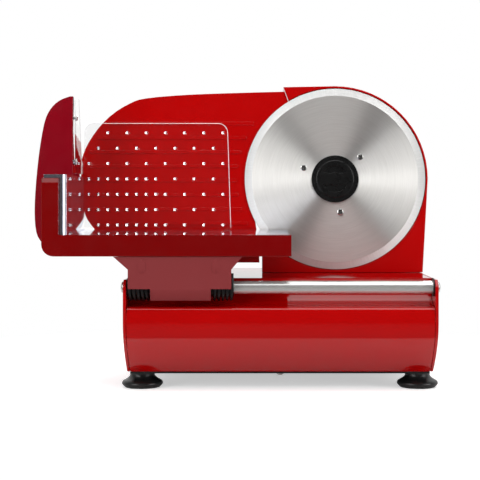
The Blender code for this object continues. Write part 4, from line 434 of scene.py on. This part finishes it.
# Blade housing: one deep glossy red moulding with a round pocket for the blade, and the
# red cover over the motor at its back, screwed on through a flange.
red_moulding = coat("red_moulding", (0.38, 0.0005, 0.0006), (0.32, 0.0004, 0.0005), (0.08, 0.14), 420.0,
                    0.02 * MM, Specular_IOR_Level=0.4)
rounded("blade_housing", "red_housing", red_moulding, "base", "red_gloss_plastic", 0.8 * MM)
rounded("rear_motor_cover", "red_motor_cover", red_moulding, "base", "red_gloss_plastic", 0.7 * MM)
for number, turn in ((1, 10.0), (2, 40.0), (3, 65.0)):
    cross_screw("cover_screw_%d" % number, "Y", 1, 2.0 * MM, 1.2 * MM, "base", turn)


# Blade: stainless steel disc, brushed in circles as it turned, with a ground bevel whose
# lines run outwards and which looks pale and matt. A black cap locks it at its hub.
blade_low, blade_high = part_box("blade")
hub = (blade_low + blade_high) / 2
front, back = blade_low.y, blade_high.y
BLADE_RADIUS = (blade_high.x - blade_low.x) / 2
BLADE_BORE = 17.0 * MM
BEVEL_START = BLADE_RADIUS - 7.6 * MM
BEVEL_HALFWAY = BEVEL_START + 3.8 * MM
BEVEL_BLUR = 0.1 * MM
EDGE = 0.05 * MM
blade_steel, tree, shader, place = new_finish("blade_steel")
around = add(tree, "ShaderNodeVectorMath", {0: place, 1: hub}, operation="SUBTRACT")
parts = add(tree, "ShaderNodeSeparateXYZ", {0: around.outputs[0]}).outputs
flat = add(tree, "ShaderNodeCombineXYZ", {"X": parts["X"], "Y": 0.0, "Z": parts["Z"]}).outputs[0]
reach = add(tree, "ShaderNodeVectorMath", {0: flat}, operation="LENGTH").outputs["Value"]
turn = sums(tree, "ARCTAN2", parts["Z"], parts["X"])
polar = add(tree, "ShaderNodeCombineXYZ", {"X": reach, "Y": sums(tree, "SINE", turn),
                                           "Z": sums(tree, "COSINE", turn)}).outputs[0]
ground = ramp(tree, reach, BEVEL_START - BEVEL_BLUR, BEVEL_START + BEVEL_BLUR)
brush = add(tree, "ShaderNodeMix", {"Factor": ground, 2: drawn(tree, polar, (1300.0, 2.6, 2.6)),
                                    3: drawn(tree, polar, (40.0, 150.0, 150.0))}).outputs[0]
disc_tone = mixed(tree, brush, (0.93, 0.915, 0.885, 1.0), (0.79, 0.775, 0.745, 1.0))
bevel_tone = mixed(tree, brush, (0.74, 0.74, 0.73, 1.0), (0.58, 0.58, 0.57, 1.0))
ringwise = add(tree, "ShaderNodeVectorMath", {0: flat, 1: (0.0, 1.0, 0.0)}, operation="CROSS_PRODUCT")
streaked = add(tree, "ShaderNodeMix", {"Factor": ground, 4: flat, 5: ringwise.outputs[0]}, data_type="VECTOR")
outward = add(tree, "ShaderNodeVectorTransform", {0: streaked.outputs[1]}, vector_type="VECTOR",
              convert_from="OBJECT", convert_to="WORLD")
join(tree, shader, {"Base Color": mixed(tree, ground, disc_tone, bevel_tone),
                    "Roughness": ramp(tree, brush, 0.3, 0.7, 0.44, 0.52),
                    "Metallic": sums(tree, "MULTIPLY_ADD", ground, -0.45, 0.90),
                    "Normal": relief(tree, brush, 0.5, 0.02 * MM),
                    "Tangent": outward.outputs[0], "Anisotropic": 0.95})
disc = [(BLADE_BORE, back), (BLADE_RADIUS - EDGE, back), (BLADE_RADIUS, back - EDGE),
        (BLADE_RADIUS, back - 0.12 * MM), (BLADE_RADIUS - EDGE, back - 0.17 * MM),
        (BEVEL_HALFWAY, (front + back) / 2 + EDGE), (BEVEL_START, front), (BLADE_BORE, front),
        (BLADE_BORE, back)]
piece_from(spun(disc, "Y", hub, steps=240), "slicing_blade", blade_steel, "blade", "blade_steel", "blade",
           angle=8.0)
for number, turn in ((1, 12.0), (2, 35.0), (3, 60.0)):
    cross_screw("blade_screw_%d" % number, "Y", -1, 0.85 * MM, 1.5 * MM, "blade", turn)

black_moulding = coat("black_moulding", SOOT, WORN_SOOT, (0.22, 0.36), 600.0, 0.05 * MM, drift_scale=30.0,
                      Specular_IOR_Level=0.35)
rounded("blade_lock", "blade_lock_cap", black_moulding, "blade_lock", "black_plastic", 0.22 * MM)


# Guide plate: a glossy red moulding with shallow ribs for the food to run on, close beside
# the housing's notch. The knob draws it back on an aluminium carrier.
NOTCH_CLOSING = 0.5 * MM
NOTCH_SIDE = 8.5 * MM
NOTCH_HEIGHT = 21.0 * MM
guide_form = cad_form("guide_plate")
guide_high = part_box("guide_plate")[1]
for vertex in guide_form.verts:
    if vertex.co.x > guide_high.x - NOTCH_SIDE and vertex.co.z > guide_high.z - NOTCH_HEIGHT:
        vertex.co.x += NOTCH_CLOSING
softened(guide_form, "red_guide_plate", red_moulding, "guide", "red_gloss_plastic", 0.15 * MM, "guide_plate",
         segments=2)
aluminium = metal("sheet_aluminium", (0.60, 0.61, 0.62), (0.50, 0.51, 0.52), (0.30, 0.45),
                  (40.0, 40.0, 1400.0), 0.02 * MM)
dress(aluminium, "guide_carrier", "gearbox_plate", "motor_mount")
cross_screw("guide_screw_1", "Y", 1, 2.0 * MM, 1.5 * MM, "guide", 20.0)
cross_screw("guide_screw_2", "Y", 1, 2.0 * MM, 1.5 * MM, "guide", 55.0)


# Drive: natural nylon gears and steel pinions between the two plates, and the motor in its
# plated can. They sit inside the housing and turn with the blade.
nylon = coat("natural_nylon", (0.70, 0.69, 0.63), (0.62, 0.61, 0.55), (0.38, 0.52), 500.0, 0.06 * MM,
             drift_scale=30.0)
dress(nylon, "drive_gear", "reduction_wheel", "knob_cam_shaft", "carriage_glide")
dress(screw_steel, "spindle_stud", "reduction_shaft", "reduction_pinion", "motor_shaft", "motor_pinion")
plated_can = metal("plated_can", (0.55, 0.55, 0.53), (0.46, 0.46, 0.44), (0.28, 0.42),
                   (60.0, 900.0, 60.0), 0.02 * MM)
dress(plated_can, "motor_can")


# Thickness knob: black moulding with finger flutes and raised white numbers, in
# millimetres, that pass a small pointer on the base as it turns.
knob_low, knob_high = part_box("thickness_knob")
knob_middle = (knob_low + knob_high) / 2
KNOB_RADIUS = (knob_high.x - knob_low.x) / 2
FLUTES = 20
FLUTE_DEPTH = 0.9 * MM
face = knob_high.y
skirt = knob_low.y + 2.4 * MM
grip = KNOB_RADIUS - 1.6 * MM
knob_line = [(5.3 * MM, knob_low.y), (KNOB_RADIUS - 0.3 * MM, knob_low.y),
             (KNOB_RADIUS, knob_low.y + 0.3 * MM), (KNOB_RADIUS, skirt - 0.4 * MM),
             (KNOB_RADIUS - 0.4 * MM, skirt), (grip, skirt + 0.2 * MM), (grip, skirt + 3.5 * MM),
             (grip, face - 3.5 * MM), (grip, face - 1.4 * MM), (grip - 0.5 * MM, face - 0.5 * MM),
             (grip - 1.4 * MM, face), (grip - 6.6 * MM, face), (grip - 7.0 * MM, face - 0.3 * MM),
             (grip - 7.6 * MM, face - 0.9 * MM), (0.0, face - 1.1 * MM)]
knob_form = spun(knob_line, "Y", knob_middle, steps=FLUTES * 10)
for vertex in knob_form.verts:
    away = Vector((vertex.co.x - knob_middle.x, 0.0, vertex.co.z - knob_middle.z))
    if vertex.co.y > skirt + 0.1 * MM and away.length > grip - 0.6 * MM:
        wave = 0.5 - 0.5 * math.cos(FLUTES * math.atan2(away.z, away.x))
        vertex.co -= away.normalized() * FLUTE_DEPTH * wave ** 2
piece_from(knob_form, "fluted_knob", black_moulding, "knob", "black_plastic", "thickness_knob")

white_ink = coat("white_ink", (0.78, 0.78, 0.76), (0.70, 0.70, 0.68), (0.40, 0.55), 900.0, 0.04 * MM)
NUMBERS = 6
NUMBER_STEP = 3
NUMBER_ANGLE = 54.0
NUMBER_SIZE = 4.2 * MM
NUMBER_THICKNESS = 0.25 * MM
marks = bmesh.new()
for step in range(NUMBERS):
    digits = bpy.data.curves.new("mark", "FONT")
    digits.body = str(step * NUMBER_STEP)
    digits.size = NUMBER_SIZE
    digits.extrude = NUMBER_THICKNESS / 2
    digits.align_x = "CENTER"
    digits.align_y = "CENTER"
    number = shape_of(bpy.data.objects.new("mark", digits))
    turn = math.radians(90.0 + NUMBER_ANGLE * step)
    away = grip - 4.0 * MM
    place = (knob_middle.x + away * math.cos(turn), face + 0.1 * MM, knob_middle.z + away * math.sin(turn))
    number.transform(Matrix.Translation(place) @ Matrix.Rotation(math.pi / 2 - turn, 4, "Y")
                     @ Matrix.Rotation(math.pi, 4, "Z") @ Matrix.Rotation(math.pi / 2, 4, "X"))
    marks.from_mesh(number)
piece_from(marks, "knob_numbers", white_ink, "knob", "black_plastic")

POINTER_ABOVE_KNOB = 4.5 * MM
POINTER_RADIUS = 2.6 * MM
POINTER_THICKNESS = 0.35 * MM
base_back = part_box("base_shell")[1].y
pointer_place = (knob_middle.x, base_back, knob_middle.z + KNOB_RADIUS + POINTER_ABOVE_KNOB)
pointer = bmesh.new()
bmesh.ops.create_circle(pointer, cap_ends=True, segments=3, radius=POINTER_RADIUS)
bmesh.ops.transform(pointer, verts=pointer.verts,
                    matrix=Matrix.Translation(pointer_place) @ Matrix.Rotation(math.pi / 2, 4, "X"))
grown = bmesh.ops.extrude_face_region(pointer, geom=pointer.faces[:])["geom"]
bmesh.ops.translate(pointer, vec=(0.0, POINTER_THICKNESS, 0.0),
                    verts=[part for part in grown if isinstance(part, bmesh.types.BMVert)])
bmesh.ops.recalc_face_normals(pointer, faces=pointer.faces)
piece_from(pointer, "knob_pointer", white_ink, "base", "black_plastic")


# Controls on the back of the base: power rocker in its bezel with plain on and off marks,
# the round interlock button in its ring, and the gland for the mains lead.
rounded("power_rocker", "rocker_key", black_moulding, "rocker", "black_plastic", 0.4 * MM)
rounded("switch_bezel", "rocker_bezel", black_moulding, "base", "black_plastic", 0.5 * MM)
rounded("interlock_button", "round_button", black_moulding, "button", "black_plastic", 0.8 * MM)
rounded("button_ring", "round_button_ring", black_moulding, "base", "black_plastic", 0.5 * MM)
rounded("cord_gland", "lead_gland", rubber, "base", "black_plastic", 0.4 * MM)
rocker_low, rocker_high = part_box("power_rocker")
rocker_x = (rocker_low.x + rocker_high.x) / 2
rocker_z = (rocker_low.z + rocker_high.z) / 2
rocker_back = rocker_high.y - 2.6 * MM
ON_UP, OFF_DOWN, OFF_BACK = 4.6 * MM, 4.2 * MM, 1.36 * MM
MARK_WIDTH, MARK_HEIGHT, MARK_THICKNESS = 0.7 * MM, 4.2 * MM, 0.2 * MM
RING_INNER, RING_OUTER = 1.6 * MM, 2.2 * MM
ROCKER_SLOPE = 18.0
marks = bmesh.new()
bmesh.ops.create_cube(marks, size=1.0, matrix=Matrix.Translation((rocker_x, rocker_back, rocker_z + ON_UP))
                      @ Matrix.Diagonal((MARK_WIDTH, MARK_THICKNESS, MARK_HEIGHT, 1.0)))
piece_from(marks, "rocker_on_mark", white_ink, "rocker", "black_plastic")
ring = [(RING_INNER, 0.0), (RING_OUTER, 0.0), (RING_OUTER, MARK_THICKNESS), (RING_INNER, MARK_THICKNESS),
        (RING_INNER, 0.0)]
marks = spun(ring, "Y", (0.0, 0.0, 0.0), steps=40)
off_place = Matrix.Translation((rocker_x, rocker_back + OFF_BACK, rocker_z - OFF_DOWN))
bmesh.ops.transform(marks, verts=marks.verts,
                    matrix=off_place @ Matrix.Rotation(math.radians(ROCKER_SLOPE), 4, "X"))
piece_from(marks, "rocker_off_mark", white_ink, "rocker", "black_plastic")


# Carriage bracket: matt red die casting that turns on a black sleeve along the rod. Its
# lower edge wraps round the rod, and two oval bosses stand a little proud of its face.
matt_red = coat("matt_red", (0.19, 0.018, 0.020), (0.160, 0.013, 0.015), (0.48, 0.62), 900.0, 0.10 * MM,
                Specular_IOR_Level=0.3)
bracket_form = cad_form("carriage_bracket")
bracket_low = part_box("carriage_bracket")[0]
rod_low, rod_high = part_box("slide_rod")
rod_y, rod_z = (rod_low.y + rod_high.y) / 2, (rod_low.z + rod_high.z) / 2
EDGE_BELOW_ROD = 0.7 * MM
EDGE_THICKNESS = 3.2 * MM
EDGE_WRAP = 44.0
TONGUE_LEFT, TONGUE_RIGHT = -80.17 * MM, -22.77 * MM


def cut_across(form, place, normal, **settings):
    """Cut a whole form by a plane."""
    bmesh.ops.bisect_plane(form, geom=form.verts[:] + form.edges[:] + form.faces[:], dist=WELD,
                           plane_co=place, plane_no=normal, **settings)


for side in (TONGUE_LEFT, TONGUE_RIGHT):
    cut_across(bracket_form, (side, 0.0, 0.0), (1.0, 0.0, 0.0))
bracket_form.normal_update()
lower_edge = []
for part in bracket_form.faces:
    middle = part.calc_center_median()
    if (part.normal.z < -0.99 and abs(middle.z - rod_z + EDGE_BELOW_ROD) < 0.05 * MM
            and TONGUE_LEFT < middle.x < TONGUE_RIGHT and middle.y < bracket_low.y + EDGE_THICKNESS):
        lower_edge.append(part)
bmesh.ops.spin(bracket_form, geom=lower_edge, cent=(0.0, rod_y, rod_z), axis=(1.0, 0.0, 0.0),
               angle=math.radians(EDGE_WRAP), steps=8)
softened(bracket_form, "matt_bracket", matt_red, "carriage", "red_matte_plastic", 0.6 * MM,
         "carriage_bracket")

BOSS_RADIUS = 4.1 * MM
BOSS_HEIGHT = 0.35 * MM
BOSS_EDGE = 0.1 * MM
BOSS_ROOT = 1.0 * MM
BOSS_STRETCH = 1.75
BOSS_X, BOSS_APART, BOSS_ABOVE_ROD = -88.4 * MM, 70.6 * MM, 21.4 * MM
boss_line = [(0.0, BOSS_ROOT), (BOSS_RADIUS, BOSS_ROOT), (BOSS_RADIUS, BOSS_EDGE - BOSS_HEIGHT),
             (BOSS_RADIUS - BOSS_EDGE, -BOSS_HEIGHT), (0.0, -BOSS_HEIGHT)]
boss_place = Matrix.Translation((BOSS_X, bracket_low.y, rod_z + BOSS_ABOVE_ROD))
bosses = spun(boss_line, "Y", (0.0, 0.0, 0.0), steps=48)
bmesh.ops.transform(bosses, verts=bosses.verts,
                    matrix=boss_place @ Matrix.Diagonal((1.0, 1.0, BOSS_STRETCH, 1.0)))
twin = bmesh.ops.duplicate(bosses, geom=bosses.verts[:] + bosses.edges[:] + bosses.faces[:])["geom"]
bmesh.ops.translate(bosses, vec=(BOSS_APART, 0.0, 0.0),
                    verts=[part for part in twin if isinstance(part, bmesh.types.BMVert)])
piece_from(bosses, "bracket_bosses", matt_red, "carriage", "red_matte_plastic")
dress(black_moulding, "rod_sleeve")
cross_screw("bracket_screw_1", "Z", -1, 2.2 * MM, 1.8 * MM, "carriage", 25.0)
cross_screw("bracket_screw_2", "Z", -1, 2.2 * MM, 1.8 * MM, "carriage", 65.0)


# Torsion springs: two springs of black steel wire, wound on the ends of the sleeve, which
# press the tray down. Their legs stand up behind the rod and in front of it.
def bent_wire(points, radius, rounding):
    """A round wire with closed ends along its points, as a bmesh."""
    curve = bpy.data.curves.new("wire", "CURVE")
    curve.dimensions = "3D"
    curve.bevel_depth = radius
    curve.bevel_resolution = rounding
    curve.use_fill_caps = True
    spline = curve.splines.new("POLY")
    spline.points.add(len(points) - 1)
    for point, place in zip(spline.points, points):
        point.co = (*place, 1.0)
    form = bmesh.new()
    form.from_mesh(shape_of(bpy.data.objects.new("wire", curve)))
    return form


WIRE = 1.5 * MM
COIL = 11.49 * MM
COIL_TURNS = 4.5
COIL_STEPS = 144
LEG = (14.0 * MM, 8.0 * MM, 3.0 * MM)
for side, inwards in (("left", -1), ("right", 1)):
    low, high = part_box("torsion_spring_" + side)
    begin = (high.x if inwards < 0 else low.x) + inwards * WIRE
    length = high.x - low.x - 2 * WIRE
    points = [(begin, rod_y + COIL, rod_z + up) for up in LEG]
    for step in range(COIL_STEPS + 1):
        turn = -2 * math.pi * COIL_TURNS * step / COIL_STEPS
        points.append((begin + inwards * length * step / COIL_STEPS, rod_y + COIL * math.cos(turn),
                       rod_z + COIL * math.sin(turn)))
    points += [(begin + inwards * length, rod_y - COIL, rod_z + up) for up in reversed(LEG)]
    piece_from(bent_wire(points, WIRE, 4), "coil_spring_" + side, black_paint, "carriage_sleeve",
               "black_steel", "torsion_spring_" + side, angle=60.0)


# Tray frame: dark red moulding with a front bar, a post at the left whose top rolls back,
# and a ribbed shelf under the tray, which is bent from one mirror bright steel sheet.
dark_red = coat("dark_red_moulding", (0.150, 0.0006, 0.0008), (0.128, 0.0005, 0.0007), (0.12, 0.20), 600.0,
                0.03 * MM, Specular_IOR_Level=0.3)
frame_form = cad_form("tray_frame")
frame_low, frame_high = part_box("tray_frame")
BROW_DROP = 5.0 * MM
BROW_DEPTH = 4.0 * MM
BROW_ROUNDING = 2.6 * MM
NEAR = 0.2 * MM
CORNER_REACH = 1.6 * MM
brow = []
for vertex in frame_form.verts:
    if vertex.co.z > frame_high.z - NEAR and vertex.co.y < frame_low.y + CORNER_REACH:
        vertex.co.y = frame_low.y + BROW_DEPTH
        brow.append(vertex)
    elif vertex.co.z > frame_high.z - CORNER_REACH and vertex.co.y < frame_low.y + NEAR:
        vertex.co.z = frame_high.z - BROW_DROP
        brow.append(vertex)
level_edges = [edge for edge in frame_form.edges if edge.verts[0] in brow and edge.verts[1] in brow
               and abs(edge.verts[0].co.z - edge.verts[1].co.z) < 0.1 * MM]
bmesh.ops.bevel(frame_form, geom=level_edges, offset=BROW_ROUNDING, segments=5, profile=0.5, affect="EDGES",
                material=-1, clamp_overlap=True)
softened(frame_form, "red_tray_frame", dark_red, "carriage", "red_dark_plastic", 0.6 * MM, "tray_frame")
# The steel's colour carries a blue tint, a painted reflection colour: it stands for the bluish light that the
# polished sheet mirrors.
mirror_steel = metal("mirror_steel", (0.76, 0.78, 0.90), (0.70, 0.72, 0.84), (0.04, 0.08),
                     (220.0, 30.0, 30.0), 0.001 * MM, metallic=0.96)
rounded("steel_tray", "polished_tray", mirror_steel, "carriage", "polished_steel", 0.4 * MM)


# Pusher plate: one clear moulding with small pyramid teeth towards the food, closer set in
# its lower left part. Along its top and its right edge runs a thin white line, a painted
# highlight that stands for the shine of that edge. It is so clear that it leaves no shadow.
clear, tree, shader, place = new_finish("clear_moulding")
specks = add(tree, "ShaderNodeGroup", {"Place": place, "Scale": 60.0}, node_tree=grain)
join(tree, shader, {"Normal": relief(tree, specks.outputs["Height"], 0.3, 0.04 * MM),
                    "Base Color": (0.97, 0.97, 0.97, 1.0), "Roughness": 0.02, "IOR": 1.49,
                    "Transmission Weight": 1.0})
plate_low, plate_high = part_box("pusher_plate")
TOOTH_RISE = 2.0 * MM
PLATE_BELOW_WEB = 22.0 * MM
SKIN = 0.02 * MM
plate_back = plate_high.y - TOOTH_RISE
plate_top = plate_high.z - PLATE_BELOW_WEB
plate_form = cad_form("pusher_plate")
cut_across(plate_form, (0.0, plate_back - SKIN, 0.0), (0.0, 1.0, 0.0), clear_outer=True)
bmesh.ops.contextual_create(plate_form, geom=[edge for edge in plate_form.edges if edge.is_boundary])
clear_plate = softened(plate_form, "clear_pusher_plate", clear, "pusher", "clear_plastic", 0.7 * MM,
                       "pusher_plate")

TOOTH_HALF = 1.3 * MM
TOOTH_TIP = 1.45 * MM
TOOTH_ROWS = 7
ROW_PITCH = 16.08 * MM
COLUMN_PITCH = 20.1 * MM
FIRST_ROW = plate_top - 10.0 * MM
FIRST_COLUMN = plate_high.x - 8.4 * MM
DENSE_ROW = 3
DENSE_COLUMN = FIRST_COLUMN - 2.75 * COLUMN_PITCH
teeth = bmesh.new()
for row in range(TOOTH_ROWS):
    height = FIRST_ROW - row * ROW_PITCH
    end = plate_low.x + (12.0 * MM if row in (0, TOOTH_ROWS - 1) else 4.0 * MM)
    x = FIRST_COLUMN - (row % 2) * COLUMN_PITCH / 2
    while x > end:
        place = Matrix.Translation((x, plate_back + (SKIN + TOOTH_TIP) / 2, height))
        bmesh.ops.create_cone(teeth, cap_ends=True, segments=4, radius1=TOOTH_HALF * math.sqrt(2.0),
                              radius2=0.0, depth=TOOTH_TIP - SKIN, matrix=place
                              @ Matrix.Rotation(-math.pi / 2, 4, "X") @ Matrix.Rotation(math.pi / 4, 4, "Z"))
        x -= COLUMN_PITCH / 2 if row >= DENSE_ROW and x < DENSE_COLUMN else COLUMN_PITCH
bmesh.ops.remove_doubles(teeth, verts=teeth.verts, dist=WELD)
bmesh.ops.recalc_face_normals(teeth, faces=teeth.faces)
clear_teeth = piece_from(teeth, "plate_teeth", clear, "pusher", "clear_plastic", angle=20.0)

# A thin white wire along the plate's top and its right edge, lit by the lamps: a painted highlight of the
# edge.
edge_highlight_white = coat("painted_edge_highlight", (0.86, 0.86, 0.88), (0.80, 0.80, 0.82), (0.40, 0.55), 900.0, 0.02 * MM)
RIM = 0.26 * MM
RIM_LENGTH = 109.0 * MM
LEAN = 3.2 * MM
CORNER = 10.0 * MM
rim_y = plate_back - 1.8 * MM
rim_line = [(plate_high.x - RIM, rim_y, plate_top - RIM_LENGTH)]
for step in range(11):
    turn = math.radians(9.0 * step)
    rim_line.append((plate_high.x - RIM - LEAN - CORNER * (1 - math.cos(turn)), rim_y,
                     plate_top - RIM - CORNER * (1 - math.sin(turn))))
rim_line.append((plate_low.x + CORNER, rim_y, plate_top - RIM))
edge_highlight_piece = piece_from(bent_wire(rim_line, RIM, 2), "plate_edge_highlight", edge_highlight_white, "pusher", "clear_plastic",
                       angle=60.0)
for piece in (clear_plate, clear_teeth, edge_highlight_piece):
    piece.visible_shadow = False
    piece.visible_diffuse = False


# Hand guard: a dark red moulding that slides along the tray's wall and carries the plate
# on two steel screws. Its front is creased near the right edge and runs back from there.
guard_red = coat("guard_red", (0.190, 0.0008, 0.0065), (0.155, 0.0006, 0.0050), (0.14, 0.22), 500.0,
                 0.03 * MM, Specular_IOR_Level=0.35)
guard_form = cad_form("pusher_guard")
guard_low, guard_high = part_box("pusher_guard")
CREASE_INSET = 9.6 * MM
CREASE_SWEEP = 2.6 * MM
FRONT_DEPTH = 7.0 * MM
crease = guard_high.x - CREASE_INSET
cut_across(guard_form, (crease, 0.0, 0.0), (1.0, 0.0, 0.0))
for vertex in guard_form.verts:
    if vertex.co.x > crease and vertex.co.y < guard_low.y + FRONT_DEPTH:
        vertex.co.y += CREASE_SWEEP * (vertex.co.x - crease) / CREASE_INSET
softened(guard_form, "hand_guard", guard_red, "pusher", "red_dark_plastic", 0.8 * MM, "pusher_guard")
cross_screw("pusher_screw_1", "X", 1, 1.8 * MM, 1.5 * MM, "pusher", 30.0)
cross_screw("pusher_screw_2", "X", 1, 1.8 * MM, 1.5 * MM, "pusher", 75.0)
